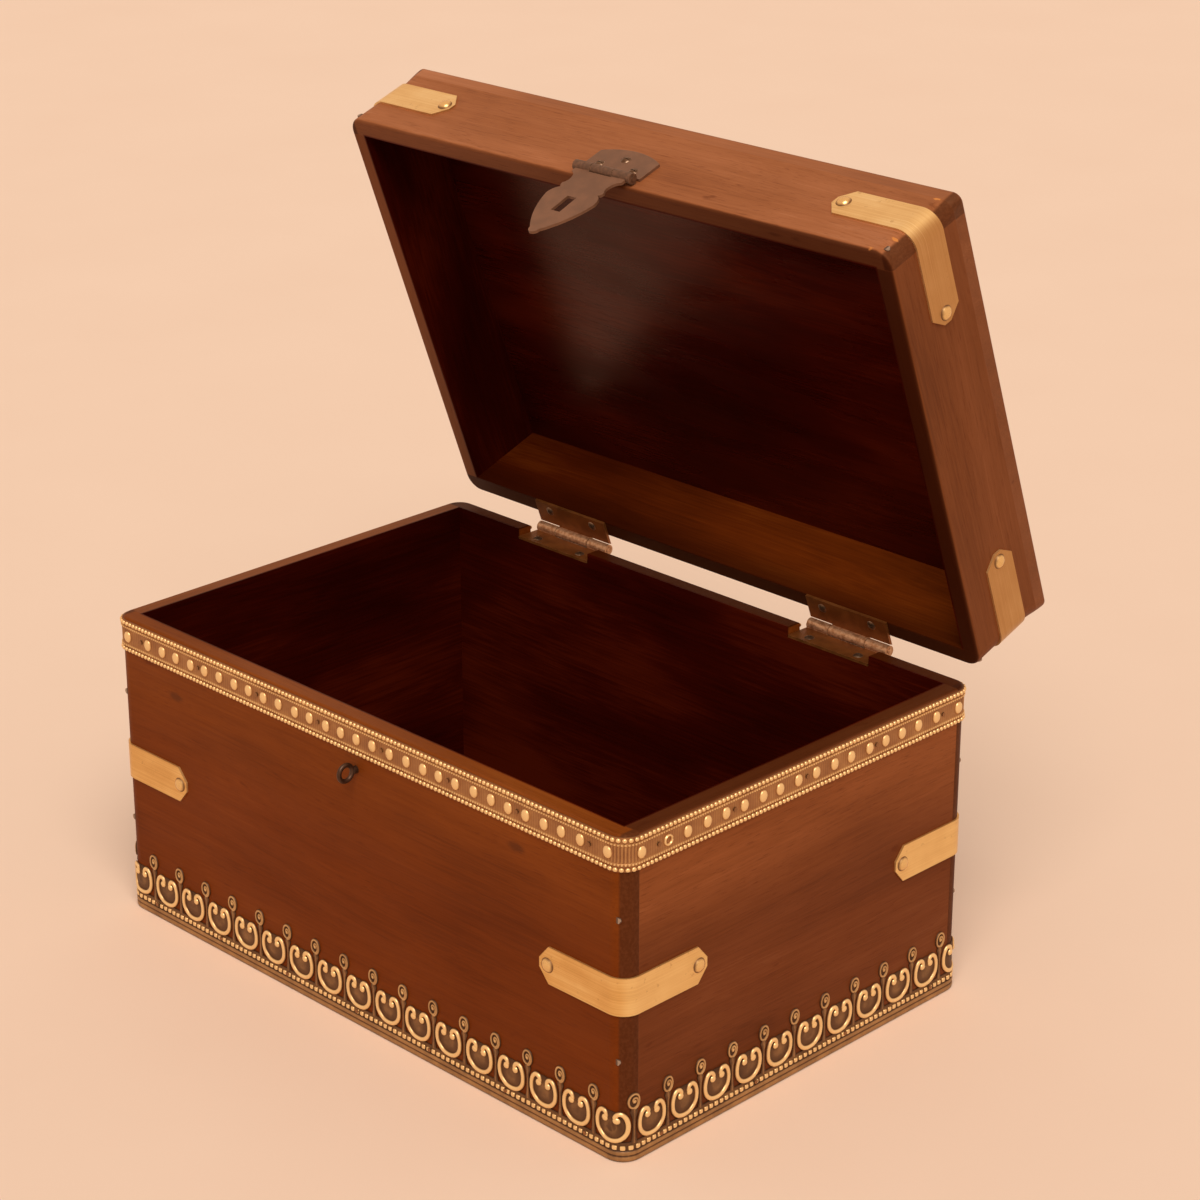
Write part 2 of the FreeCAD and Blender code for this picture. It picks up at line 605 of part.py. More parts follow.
def corner_strap(level):
    """A brass strap bent round the front right corner, with pointed ends."""
    half = CORNER_WIDTH / 2
    tip = CORNER_TIP_WIDTH / 2
    shoulder = CORNER_LEG - CORNER_POINT
    start = -CORNER_THICK - CUT_PAST
    outline = [
        (start, half),
        (shoulder, half),
        (CORNER_LEG, tip),
        (CORNER_LEG, -tip),
        (shoulder, -half),
        (start, -half),
    ]
    depth = CORNER_RADIUS + CORNER_THICK + 2 * CUT_PAST
    front_outline = [vec(HALF_X - along, -HALF_Y + start, level + up) for along, up in outline]
    side_outline = [vec(HALF_X - start, -HALF_Y + along, level + up) for along, up in outline]
    front = prism(front_outline, vec(0, depth, 0))
    side = prism(side_outline, vec(-depth, 0, 0))
    return wrap(CORNER_THICK, level - half, level + half).common(front.fuse(side))


def corner_straps(level):
    """The strap and its mirror images at all four corners, by name."""
    front_right = corner_strap(level)
    origin = vec(0, 0, 0)
    front_left = front_right.mirror(origin, X_AXIS)
    return {
        "front_right": front_right,
        "front_left": front_left,
        "back_right": front_right.mirror(origin, Y_AXIS),
        "back_left": front_left.mirror(origin, Y_AXIS),
    }


def strap_nails(level):
    """One dome-headed nail near each end of each corner strap."""
    along = CORNER_LEG - CORNER_NAIL_INSET
    nails = []
    for side in (-1, 1):
        for end in (-1, 1):
            long_face = vec(side * (HALF_X - along), end * HALF_Y, level)
            short_face = vec(side * HALF_X, end * (HALF_Y - along), level)
            nails.append(domed_nail(long_face, end * Y_AXIS, CORNER_THICK))
            nails.append(domed_nail(short_face, side * X_AXIS, CORNER_THICK))
    return nails


def drill(pieces, names, fasteners):
    """Cuts the holes for a group of fasteners in the named pieces."""
    tool = group(fasteners)
    for name in names:
        pieces[name] = pieces[name].cut(tool)


def build_box():
    """Everything that stands still."""
    pieces = box_boards()
    walls = ["front_board", "back_board", "left_board", "right_board"]
    for centre in (-HINGE_OFFSET, HINGE_OFFSET):
        pieces["back_board"] = pieces["back_board"].cut(hinge_notch(centre))
    pieces["beaded_band"] = beaded_band()
    pieces["scroll_border"] = scroll_border()
    straps = {name + "_corner_strap": strap for name, strap in corner_straps(BOX_CORNER_HEIGHT).items()}
    pieces.update(straps)
    joint_nails = corner_nails(BOX_NAIL_HEIGHTS)
    foot_nails = base_nails()
    domed = strap_nails(BOX_CORNER_HEIGHT)
    band_pins = trim_pins((BAND_TOP + BAND_BOTTOM) / 2, BAND_THICK, BAND_PIN_PITCH)
    strip_middle = (BORDER_RIM_HEIGHT + BORDER_STRIP_HEIGHT) / 2
    border_pins = trim_pins(strip_middle, BORDER_STRIP_THICK, BORDER_PIN_PITCH)
    hinge_screws = []
    for side, centre in (("left", -HINGE_OFFSET), ("right", HINGE_OFFSET)):
        box_leaf, lid_leaf, pin = hinge(centre)
        screws = leaf_screws(centre, NOTCH_FLOOR, Z_AXIS)
        pieces[side + "_hinge_box_leaf"] = box_leaf.cut(group(screws))
        pieces[side + "_hinge_pin"] = pin
        hinge_screws += screws
    eye = staple()
    drill(pieces, walls, joint_nails + foot_nails + domed + band_pins + border_pins + hinge_screws + [eye])
    drill(pieces, ["base_panel"], foot_nails)
    drill(pieces, ["beaded_band"], band_pins)
    drill(pieces, ["scroll_border"], border_pins)
    drill(pieces, straps, domed)
    pieces["staple"] = eye
    pieces["corner_nails"] = group(joint_nails)
    pieces["base_nails"] = group(foot_nails)
    pieces["corner_strap_nails"] = group(domed)
    pieces["band_pins"] = group(band_pins)
    pieces["border_pins"] = group(border_pins)
    pieces["hinge_box_screws"] = group(hinge_screws)
    return pieces


def build_lid():
    """Everything that turns with the lid, modelled shut."""
    pieces = lid_boards()
    walls = ["lid_front_board", "lid_back_board", "lid_left_board", "lid_right_board"]
    straps = {"lid_" + name + "_strap": strap for name, strap in corner_straps(LID_CORNER_HEIGHT).items()}
    pieces.update(straps)
    joint_nails = corner_nails([LID_BOTTOM + up for up in LID_NAIL_HEIGHTS])
    roof_nails = top_nails()
    domed = strap_nails(LID_CORNER_HEIGHT)
    screws = hasp_screws()
    hinge_screws = []
    for side, centre in (("left", -HINGE_OFFSET), ("right", HINGE_OFFSET)):
        box_leaf, lid_leaf, pin = hinge(centre)
        leaf_pair = leaf_screws(centre, LID_BOTTOM, -Z_AXIS)
        pieces[side + "_hinge_lid_leaf"] = lid_leaf.cut(group(leaf_pair))
        hinge_screws += leaf_pair
    pieces["hasp_plate"] = hasp_plate()
    drill(pieces, walls, joint_nails + roof_nails + domed + screws + hinge_screws)
    drill(pieces, ["lid_top_panel"], roof_nails)
    drill(pieces, straps, domed)
    drill(pieces, ["hasp_plate"], screws)
    pieces["hasp_pin"] = hasp_pin()
    pieces["hasp_strap"] = hasp_strap()
    pieces["lid_corner_nails"] = group(joint_nails)
    pieces["lid_top_nails"] = group(roof_nails)
    pieces["lid_strap_nails"] = group(domed)
    pieces["hasp_screws"] = group(screws)
    pieces["hinge_lid_screws"] = group(hinge_screws)
    return pieces


def main():
    pieces = build_box()
    for name, shape in build_lid().items():
        opened = shape.copy()
        opened.rotate(vec(0, HINGE_Y, HINGE_Z), X_AXIS, -LID_OPEN)
        pieces[name] = opened
    for name, shape in pieces.items():
        shape.exportStep("parts/" + name + ".step")


main()
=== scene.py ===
import math
import random
import bpy
from mathutils import Matrix, Vector


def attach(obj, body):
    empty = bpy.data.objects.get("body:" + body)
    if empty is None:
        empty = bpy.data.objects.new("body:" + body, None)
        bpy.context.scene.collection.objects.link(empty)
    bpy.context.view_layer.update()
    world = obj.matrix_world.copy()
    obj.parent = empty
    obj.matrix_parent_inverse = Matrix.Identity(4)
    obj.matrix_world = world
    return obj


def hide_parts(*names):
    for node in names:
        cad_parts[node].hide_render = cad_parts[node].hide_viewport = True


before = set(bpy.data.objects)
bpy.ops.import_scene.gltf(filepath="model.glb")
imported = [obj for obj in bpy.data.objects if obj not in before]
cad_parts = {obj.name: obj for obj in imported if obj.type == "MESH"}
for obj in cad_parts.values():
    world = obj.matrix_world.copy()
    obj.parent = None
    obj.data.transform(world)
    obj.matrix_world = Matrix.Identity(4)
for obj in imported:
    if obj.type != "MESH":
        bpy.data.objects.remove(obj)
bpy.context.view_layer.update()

# A wooden storage box with brass trim, dressed over its solids.
# Sizes are millimetres as in the part's source; MM turns them into the frame's metres.
MM = 0.001
QUARTER = math.pi / 2
LENGTH = 305.0
DEPTH = 200.0
WALL = 8.0
CORNER_RADIUS = 7.5
BOX_HEIGHT = 138.0
LID_BOTTOM = 138.3
LID_TOP = 183.3
TOP_SEAT = 176.8
LID_OPEN = math.radians(70.0)
HINGE_Y = 106.0
HINGE_Z = 135.8
HINGE_OFFSET = 82.5
HINGE_BARREL = 2.5
HASP_Y = -103.0
HASP_Z = 141.0
HASP_BARREL = 2.3
NOTCH_HALF = 22.5
NOTCH_FLOOR = 133.3
HALF_X = LENGTH / 2
HALF_Y = DEPTH / 2
STRAIGHT_X = LENGTH - 2 * CORNER_RADIUS
STRAIGHT_Y = DEPTH - 2 * CORNER_RADIUS
CORNER_ARC = CORNER_RADIUS * QUARTER
PERIMETER = 2 * STRAIGHT_X + 2 * STRAIGHT_Y + 4 * CORNER_ARC

# The turn, straight length and face distance of each side: front, right, back, left
SIDES = (
    (0.0, STRAIGHT_X, HALF_Y),
    (QUARTER, STRAIGHT_Y, HALF_X),
    (2 * QUARTER, STRAIGHT_X, HALF_Y),
    (3 * QUARTER, STRAIGHT_Y, HALF_X),
)
RIGHT = 1
BACK = 2
TRIM_SEED = 11
chance = random.Random(TRIM_SEED)


# Node helpers

MIX_AMOUNT, MIX_FIRST, MIX_SECOND = 0, 6, 7
MIX_COLOUR = 2
NEW_STOP = 0.5
NOISE_MIDDLE = 0.5


def feed(tree, node, given):
    """Fills a node's inputs, from sockets or with constants."""
    for key, value in given.items():
        if isinstance(value, bpy.types.NodeSocket):
            tree.links.new(value, node.inputs[key])
        else:
            node.inputs[key].default_value = value


def put(tree, kind, given=None, **settings):
    """Adds one shader node; given holds its inputs."""
    made = tree.nodes.new("ShaderNode" + kind)
    for key, value in settings.items():
        setattr(made, key, value)
    feed(tree, made, given or {})
    return made


def maths(tree, operation, first, second=0.0):
    return put(tree, "Math", {0: first, 1: second}, operation=operation).outputs[0]


def fade(tree, value, low, high, start=0.0, end=1.0):
    """A smooth step from start to end as value goes from low to high."""
    given = {"Value": value, "From Min": low, "From Max": high, "To Min": start, "To Max": end}
    return put(tree, "MapRange", given, interpolation_type="SMOOTHSTEP").outputs[0]


def fade_mm(tree, value, low, high, start=0.0, end=1.0):
    """The same with low and high in millimetres."""
    return fade(tree, value, low * MM, high * MM, start, end)


def mix(tree, amount, first, second):
    """A colour between two, each a socket or red, green and blue."""
    given = {MIX_AMOUNT: amount}
    for key, colour in ((MIX_FIRST, first), (MIX_SECOND, second)):
        given[key] = colour if isinstance(colour, bpy.types.NodeSocket) else (*colour, 1.0)
    return put(tree, "Mix", given, data_type="RGBA").outputs[MIX_COLOUR]


def ramp(tree, value, stops):
    """The colour for a value, from stops that each have a place and a colour."""
    made = put(tree, "ValToRGB", {"Fac": value})
    points = made.color_ramp.elements
    while len(points) < len(stops):
        points.new(NEW_STOP)
    for point, (place, colour) in zip(points, stops):
        point.position = place
        point.color = (*colour, 1.0)
    return made.outputs[0]


def stretch(tree, vector, scale, move=(0.0, 0.0, 0.0), turn=(0.0, 0.0, 0.0)):
    given = {"Vector": vector, "Scale": scale, "Location": move, "Rotation": turn}
    return put(tree, "Mapping", given).outputs[0]


def noise(tree, vector, scale, detail=3.0, rough=0.5):
    """Soft noise about one half. scale is per metre, one for all axes or one for each."""
    sizes = scale if isinstance(scale, tuple) else (scale, scale, scale)
    given = {"Vector": stretch(tree, vector, sizes), "Scale": 1.0, "Detail": detail, "Roughness": rough}
    return put(tree, "TexNoise", given).outputs["Fac"]


def blend(tree, shares):
    """The sum of several values, each with its share."""
    total = 0.0
    for value, share in shares:
        total = maths(tree, "ADD", maths(tree, "MULTIPLY", value, share), total)
    return total


def bump(tree, height, strength, depth):
    given = {"Height": height, "Strength": strength, "Distance": depth * MM}
    return put(tree, "Bump", given).outputs[0]


def separate(tree, place):
    return put(tree, "SeparateXYZ", {0: place}).outputs


def start_material(name):
    """A new node material; returns it with its tree and its surface shader."""
    material = bpy.data.materials.new(name)
    material.use_nodes = True
    tree = material.node_tree
    return material, tree, tree.nodes["Principled BSDF"]


# Places and masks that several materials share

EDGE_SAMPLES = 6
EDGE_LEAN_FULL = 0.80
EDGE_LEAN_NONE = 0.97


def frame_coords(tree):
    return put(tree, "TexCoord").outputs["Object"]


def shut_coords(tree, on_lid):
    """Places on the object as it is with the lid shut, in metres."""
    place = frame_coords(tree)
    if not on_lid:
        return place
    pivot = Vector((0.0, HINGE_Y, HINGE_Z)) * MM
    move = pivot - Matrix.Rotation(LID_OPEN, 3, "X") @ pivot
    return stretch(tree, place, (1.0, 1.0, 1.0), move, (LID_OPEN, 0.0, 0.0))


def opened(y, z):
    """Where a place on the shut lid is in the frame, with the lid open as at rest."""
    pivot = Vector((0.0, HINGE_Y, HINGE_Z))
    place = pivot + Matrix.Rotation(-LID_OPEN, 3, "X") @ (Vector((0.0, y, z)) - pivot)
    return place.y, place.z


def reach(tree, first, second):
    """How far a place is from an axis, by its two distances."""
    squares = [maths(tree, "MULTIPLY", value, value) for value in (first, second)]
    return maths(tree, "SQRT", maths(tree, "ADD", *squares))


def stand_off(tree, place):
    """How far a place stands out from the boards' outer faces, in metres."""
    axes = separate(tree, place)
    past = []
    for index, half in ((0, HALF_X), (1, HALF_Y)):
        size = maths(tree, "ABSOLUTE", axes[index])
        over = maths(tree, "SUBTRACT", size, (half - CORNER_RADIUS) * MM)
        past.append(maths(tree, "MAXIMUM", over, 0.0))
    return maths(tree, "SUBTRACT", reach(tree, *past), CORNER_RADIUS * MM)


def edge_mask(tree, radius):
    """One along sharp edges, by how far a rounded edge's normal leans from the face's own."""
    round_normal = put(tree, "Bevel", {"Radius": radius * MM}, samples=EDGE_SAMPLES).outputs[0]
    face_normal = put(tree, "NewGeometry").outputs["Normal"]
    normals = {0: round_normal, 1: face_normal}
    lean = put(tree, "VectorMath", normals, operation="DOT_PRODUCT").outputs["Value"]
    return fade(tree, lean, EDGE_LEAN_FULL, EDGE_LEAN_NONE, 1.0, 0.0)


# Wood, with its colours from the dark streaks to the light ones

WOOD_STOPS = (
    (0.08, (0.095, 0.0145, 0.0024)),
    (0.40, (0.154, 0.0255, 0.0040)),
    (0.65, (0.185, 0.0320, 0.0054)),
    (0.95, (0.245, 0.0490, 0.0100)),
)
DEEP_INSIDE = (
    (0.10, (0.022, 0.0010, 0.0003)),
    (0.55, (0.045, 0.0025, 0.0006)),
    (0.92, (0.088, 0.0080, 0.0014)),
)
# Inside the lid's back wall: painted shade at the left, painted light at the right.
LID_BACK_SHADED_LEFT = (
    (0.10, (0.042, 0.0042, 0.0005)),
    (0.55, (0.084, 0.0100, 0.0010)),
    (0.92, (0.140, 0.0240, 0.0022)),
)
LID_BACK_LIT_RIGHT = (
    (0.10, (0.160, 0.0270, 0.0028)),
    (0.55, (0.268, 0.0480, 0.0044)),
    (0.92, (0.370, 0.0820, 0.0085)),
)
DARK_WOOD = WOOD_STOPS[0][1]
RIM_SHADE = (0.029, 0.0037, 0.0007)
END_GRAIN = (0.072, 0.0185, 0.0058)
END_GRAIN_PALE = (0.100, 0.0280, 0.0095)
RUBBED_WOOD = (0.270, 0.0720, 0.0220)
BARE_WOOD = (0.620, 0.2100, 0.0500)
OUTSIDE_GLINT = (1.0, 0.62, 0.34)
INSIDE_GLINT = (1.0, 0.30, 0.06)

# Shares of red, green and blue that tint the stops for each face. They are partly each board's own tone and
# partly painted light: faces that the light falls on more, such as the lid's front, which faces up when open,
# are lighter.
FRONT_TONE = (0.96, 1.05, 0.70)
# Painted sheen: the tints that the front, back and sides take towards the band at the top.
FRONT_PAINTED_SHEEN_TONE = (1.20, 1.52, 1.10)
SIDE_TONE = (0.92, 1.31, 2.10)
SIDE_PAINTED_SHEEN_TONE = (1.60, 2.60, 4.30)
LID_FRONT_TONE = (1.98, 3.64, 7.60)
LID_SIDE_TONE = (1.15, 1.95, 3.60)

# Noise scales along the grain and across it, per metre, and the shares of the figure
SWAY_SCALE = (4.0, 22.0, 22.0)
CLOUD_SCALE = (9.0, 26.0, 26.0)
RING_SCALE = (3.0, 170.0, 170.0)
FIBRE_SCALE = (26.0, 1100.0, 1100.0)
PORE_SCALE = (110.0, 3000.0, 3000.0)
BLOT_SCALE = (55.0, 150.0, 150.0)
SMEAR_SCALE = (12.0, 60.0, 60.0)
GRAIN_SHIFT = 2.0
SWAY_ACROSS = 0.020
SWAY_UP = 0.014
CLOUD_SHARE = 0.54
RING_SHARE = 0.20
FIBRE_SHARE = 0.26
INNER_CLOUD_SHARE = 0.7
INNER_FIBRE_SHARE = 0.3
PIT_SHARE = 0.6
PORE_SHARE = 0.40

# Noise scales in the frame's directions, per metre
SPECK_SCALE = (900.0, 900.0, 700.0)
CHIP_SCALE = 60.0
RAGGED_SCALE = (420.0, 420.0, 900.0)

# Fades of noise: where each begins and ends, and for some its shares at both
PORE_FADE = (0.60, 0.72)
FIGURE_FADE = (0.15, 0.85)
BLOT_FADE = (0.70, 0.80, 0.0, 0.55)
SPECK_FADE = (0.35, 0.70)
RUB_FADE = (0.45, 0.75, 0.05, 0.50)
BARE_FADE = (0.71, 0.75)
INNER_FADE = (0.25, 0.75)
SATIN_FADE = (0.3, 0.7, 0.40, 0.52)

# Marks on the boards: their places, and how far they reach and blur
KNOTS = ((-113.0, -100.0, 111.5), (95.0, -100.0, 114.6))
CHIPS = ((146.0, -99.5, 176.2), (147.5, -99.0, 148.1), (143.1, -99.0, 139.6))
KNOT_REACH = 2.2
KNOT_BLUR = 2.6
KNOT_SHARE = 0.6
CHIP_REACH = 1.7
CHIP_BLUR = 0.5
MARK_SHAPE = Vector((0.6, 1.0, 1.3))

# Where a board's faces, ends and rims begin and end
# The first two are the heights where the painted sheen begins and where it is full.
PAINTED_SHEEN_FROM = 70.0
PAINTED_SHEEN_TO = 125.0
RIM_TURN = 1.1
RIM_FLAT = 0.25
WEAR_RADIUS = 1.2
END_EDGE = HALF_X - 3.0
END_FADE = 1.3
END_SHARE = 0.85
FRONT_EDGE = HALF_Y - 1.0
FRONT_FADE = 2.0
BOARD_FADE = 0.4
PANEL_EDGE_TOP = LID_TOP - 0.4
PANEL_EDGE_FADE = 1.0
PANEL_EDGE_IN = -1.6
PANEL_EDGE_OUT = -0.4
INSIDE_FADE = (0.2, 1.2)
SEAT_FADE = (0.5, 1.0)
UNDERSIDE_FADE = (1.0, 2.0)
# Painted shade inside the lid near its rim: how high it reaches and how much it darkens.
PAINTED_SHADE_HEIGHT = 22.0
PAINTED_SHADE_SHARE = 0.8

# How the surface takes the light
WOOD_SHINE = 0.08
PANEL_SHINE = 0.28
PANEL_POLISH = 0.18
WOOD_BUMP = 0.22
WOOD_BUMP_DEPTH = 0.12


def toned(stops, tone):
    """The same stops with red, green and blue each made lighter or darker."""
    return [(place, tuple(level * share for level, share in zip(colour, tone))) for place, colour in stops]


def marks(tree, place, centres, far, blur):
    """One at each of a few small spots, drawn out along the length, with a ragged edge."""
    ragged = maths(tree, "MULTIPLY", noise(tree, place, RAGGED_SCALE), far * MM)
    drawn = stretch(tree, place, MARK_SHAPE)
    found = 0.0
    for centre in centres:
        spot = Vector(centre) * MARK_SHAPE * MM
        away = put(tree, "VectorMath", {0: drawn, 1: spot}, operation="DISTANCE").outputs["Value"]
        near = fade_mm(tree, maths(tree, "ADD", away, ragged), far + blur, far)
        found = maths(tree, "MAXIMUM", near, found)
    return found


def inside_mask(tree, axes, on_lid):
    """One on faces that look into the hollow of the box or lid."""
    x_over = maths(tree, "SUBTRACT", maths(tree, "ABSOLUTE", axes[0]), (HALF_X - WALL) * MM)
    y_over = maths(tree, "SUBTRACT", maths(tree, "ABSOLUTE", axes[1]), (HALF_Y - WALL) * MM)
    within = fade_mm(tree, maths(tree, "MAXIMUM", x_over, y_over), *INSIDE_FADE, 1.0, 0.0)
    if on_lid:
        low, high = SEAT_FADE
        level = fade_mm(tree, axes[2], TOP_SEAT + low, TOP_SEAT + high, 1.0, 0.0)
    else:
        level = fade_mm(tree, axes[2], *UNDERSIDE_FADE)
    return maths(tree, "MULTIPLY", within, level)


def meeting_mask(tree, level, on_lid):
    """One on the rims where the box and the lid meet."""
    if on_lid:
        return fade_mm(tree, level, LID_BOTTOM + RIM_FLAT, LID_BOTTOM + RIM_TURN, 1.0, 0.0)
    return fade_mm(tree, level, BOX_HEIGHT - RIM_TURN, BOX_HEIGHT - RIM_FLAT)


def panel_edge_mask(tree, place, level):
    """One on the edges of the lid's top panel, below its rounded top."""
    below = fade_mm(tree, level, PANEL_EDGE_TOP - PANEL_EDGE_FADE, PANEL_EDGE_TOP, 1.0, 0.0)
    outside = fade_mm(tree, stand_off(tree, place), PANEL_EDGE_IN, PANEL_EDGE_OUT)
    return maths(tree, "MULTIPLY", outside, below)


def grain_coords(tree, place, along, seed):
    """Coordinates that follow a board's grain, which sways a little and is each board's own."""
    turn = (0.0, 0.0, QUARTER) if along == "y" else (0.0, 0.0, 0.0)
    draw = random.Random(seed)
    shift = tuple(draw.uniform(-GRAIN_SHIFT, GRAIN_SHIFT) for _ in range(3))
    grain = stretch(tree, place, (1.0, 1.0, 1.0), shift, turn)
    sway = noise(tree, grain, SWAY_SCALE, detail=2.0)
    bends = {1: maths(tree, "MULTIPLY", sway, SWAY_ACROSS), 2: maths(tree, "MULTIPLY", sway, SWAY_UP)}
    bent = put(tree, "CombineXYZ", bends).outputs[0]
    return put(tree, "VectorMath", {0: grain, 1: bent}).outputs[0]


def end_grain(tree, place, axes, spread, colour, ends):
    """Dull end grain near the ends of a board. On the panel it shows only on the edge above the front board,
    and that edge has the front's colour between the ends."""
    end = fade_mm(tree, maths(tree, "ABSOLUTE", axes[0]), END_EDGE - END_FADE, END_EDGE, 0.0, END_SHARE)
    if ends == "panel":
        edge = panel_edge_mask(tree, place, axes[2])
        front = fade_mm(tree, axes[1], FRONT_FADE - FRONT_EDGE, -FRONT_EDGE)
        front_colour = ramp(tree, spread, toned(WOOD_STOPS, LID_FRONT_TONE))
        colour = mix(tree, maths(tree, "MULTIPLY", edge, front), colour, front_colour)
        board_back = WALL - HALF_Y
        above_board = fade_mm(tree, axes[1], board_back, board_back + BOARD_FADE, 1.0, 0.0)
        end = maths(tree, "MULTIPLY", end, maths(tree, "MULTIPLY", edge, above_board))
    speck = noise(tree, place, SPECK_SCALE, detail=2.0)
    end_colour = mix(tree, fade(tree, speck, *SPECK_FADE), END_GRAIN, END_GRAIN_PALE)
    return mix(tree, end, colour, end_colour)


def worn(tree, place, colour, chips):
    """The colour rubbed pale along the edges, and bare in the most worn spots and the chips."""
    edges = edge_mask(tree, WEAR_RADIUS)
    wear = noise(tree, place, CHIP_SCALE, detail=4.0, rough=0.65)
    rub = maths(tree, "MULTIPLY", edges, fade(tree, wear, *RUB_FADE))
    colour = mix(tree, rub, colour, RUBBED_WOOD)
    bare = maths(tree, "MULTIPLY", edges, fade(tree, wear, *BARE_FADE))
    if chips:
        bare = maths(tree, "MAXIMUM", bare, marks(tree, place, chips, CHIP_REACH, CHIP_BLUR))
    return mix(tree, bare, colour, BARE_WOOD)


def inside_colour(tree, axes, patch, inner, inner_lit_right):
    """The colour in the hollow. With inner_lit_right it is painted lighter towards the right, and painted
    shade darkens it near the lid's rim."""
    colour = ramp(tree, patch, inner)
    if inner_lit_right:
        # Painted light: lighter towards the right.
        painted_light_share = fade_mm(tree, axes[0], WALL - HALF_X, HALF_X - WALL)
        colour = mix(tree, painted_light_share, colour, ramp(tree, patch, inner_lit_right))
        # Painted shade near the lid's rim.
        painted_shade = fade_mm(tree, axes[2], LID_BOTTOM, LID_BOTTOM + PAINTED_SHADE_HEIGHT, PAINTED_SHADE_SHARE, 0.0)
        colour = mix(tree, painted_shade, colour, RIM_SHADE)
    return colour


def wood(name, along, seed, on_lid=False, ends=None, tone=FRONT_TONE, painted_sheen_tone=None, inner=DEEP_INSIDE,
         inner_lit_right=None, rim_shade=None, shine=WOOD_SHINE, polish=0.0, knots=(), chips=()):
    """Satin dark red-brown hardwood. along is the grain's axis, and seed makes the grain the board's own.
    ends says that end grain shows, on a board or on the panel. tone is the tint outside, partly the board's
    own and partly painted light, and painted_sheen_tone the tint of a painted sheen near the band. inner is
    the colour inside, and inner_lit_right the painted light that makes it lighter towards the right.
    rim_shade is how much painted shade darkens the rim at the left and the right, shine how much the wood
    mirrors, and polish how much smoother it is inside."""
    material, tree, surface = start_material(name)
    place = shut_coords(tree, on_lid)
    axes = separate(tree, place)
    flow = grain_coords(tree, place, along, seed)
    cloud = noise(tree, flow, CLOUD_SCALE)
    rings = noise(tree, flow, RING_SCALE, detail=2.5, rough=0.55)
    fibre = noise(tree, flow, FIBRE_SCALE, detail=2.0, rough=0.6)
    pores = fade(tree, noise(tree, flow, PORE_SCALE, detail=1.0), *PORE_FADE)
    blots = fade(tree, noise(tree, flow, BLOT_SCALE, detail=2.0), *BLOT_FADE)
    figure = blend(tree, ((cloud, CLOUD_SHARE), (rings, RING_SHARE), (fibre, FIBRE_SHARE)))
    spread = fade(tree, figure, *FIGURE_FADE)
    colour = ramp(tree, spread, toned(WOOD_STOPS, tone))
    # Painted sheen, lighter towards the band at the top.
    if painted_sheen_tone:
        pale = ramp(tree, spread, toned(WOOD_STOPS, painted_sheen_tone))
        colour = mix(tree, fade_mm(tree, axes[2], PAINTED_SHEEN_FROM, PAINTED_SHEEN_TO), colour, pale)
    colour = mix(tree, maths(tree, "MULTIPLY", pores, PORE_SHARE), colour, DARK_WOOD)
    colour = mix(tree, blots, colour, DARK_WOOD)
    if knots:
        found = marks(tree, place, knots, KNOT_REACH, KNOT_BLUR)
        colour = mix(tree, maths(tree, "MULTIPLY", found, KNOT_SHARE), colour, END_GRAIN)
    if ends:
        colour = end_grain(tree, place, axes, spread, colour, ends)
    # Painted shade on the rims where the box and the lid meet, stronger towards one end.
    if rim_shade:
        shade = fade_mm(tree, axes[0], -HALF_X, HALF_X, *rim_shade)
        shaded = maths(tree, "MULTIPLY", meeting_mask(tree, axes[2], on_lid), shade)
        colour = mix(tree, shaded, colour, RIM_SHADE)
    colour = worn(tree, place, colour, chips)
    mottle = blend(tree, ((cloud, INNER_CLOUD_SHARE), (fibre, INNER_FIBRE_SHARE)))
    hollow = inside_colour(tree, axes, fade(tree, mottle, *INNER_FADE), inner, inner_lit_right)
    within = inside_mask(tree, axes, on_lid)
    satin = fade(tree, noise(tree, flow, SMEAR_SCALE), *SATIN_FADE)
    if polish:
        satin = maths(tree, "SUBTRACT", satin, maths(tree, "MULTIPLY", within, polish))
    pitted = blend(tree, ((fibre, PIT_SHARE), (pores, -PIT_SHARE)))
    feed(tree, surface, {
        "Base Color": mix(tree, within, colour, hollow),
        "Roughness": satin,
        "Specular IOR Level": shine,
        "Specular Tint": mix(tree, within, OUTSIDE_GLINT, INSIDE_GLINT),
        "Normal": bump(tree, pitted, WOOD_BUMP, WOOD_BUMP_DEPTH),
    })
    return material


# Brass sheet from its dull streaks to its bright ones, on the front and back and on the faces to the side.
# The
# side colours are painted light: lighter on the box, darker on the lid

BOX_BRASS = ((0.30, (0.64, 0.340, 0.100)), (0.50, (0.77, 0.450, 0.145)), (0.72, (0.90, 0.600, 0.240)))
BOX_SIDE_BRASS_LIT = ((0.30, (0.74, 0.455, 0.165)), (0.50, (0.85, 0.560, 0.220)), (0.72, (0.94, 0.670, 0.290)))
LID_BRASS = ((0.30, (0.70, 0.430, 0.160)), (0.50, (0.83, 0.555, 0.230)), (0.72, (0.94, 0.700, 0.340)))
LID_SIDE_BRASS_SHADED = ((0.30, (0.45, 0.220, 0.068)), (0.50, (0.52, 0.275, 0.095)), (0.72, (0.60, 0.345, 0.142)))
STRAP_GRIME = (0.41, 0.195, 0.060)
BRUSH_SCALE = (14.0, 14.0, 2600.0)
BRUSH_SHARE = 0.55
TARNISH_SCALE = (55.0, 55.0, 90.0)
TARNISH_SHARE = 0.45
ASIDE_FADE = (0.5, 0.95)
STRAP_EDGE = 0.9
EDGE_GRIME_SHARE = 0.45
SPOT_SCALE = 420.0
SPOT_FADE = (0.66, 0.76, 0.0, 0.35)
BRUSHED_METAL = 0.75
BRUSHED_SHINE = 0.3
BRUSHED_ROUGH = (0.3, 0.7, 0.42, 0.30)
BRUSHED_BUMP = 0.18
BRUSHED_BUMP_DEPTH = 0.05


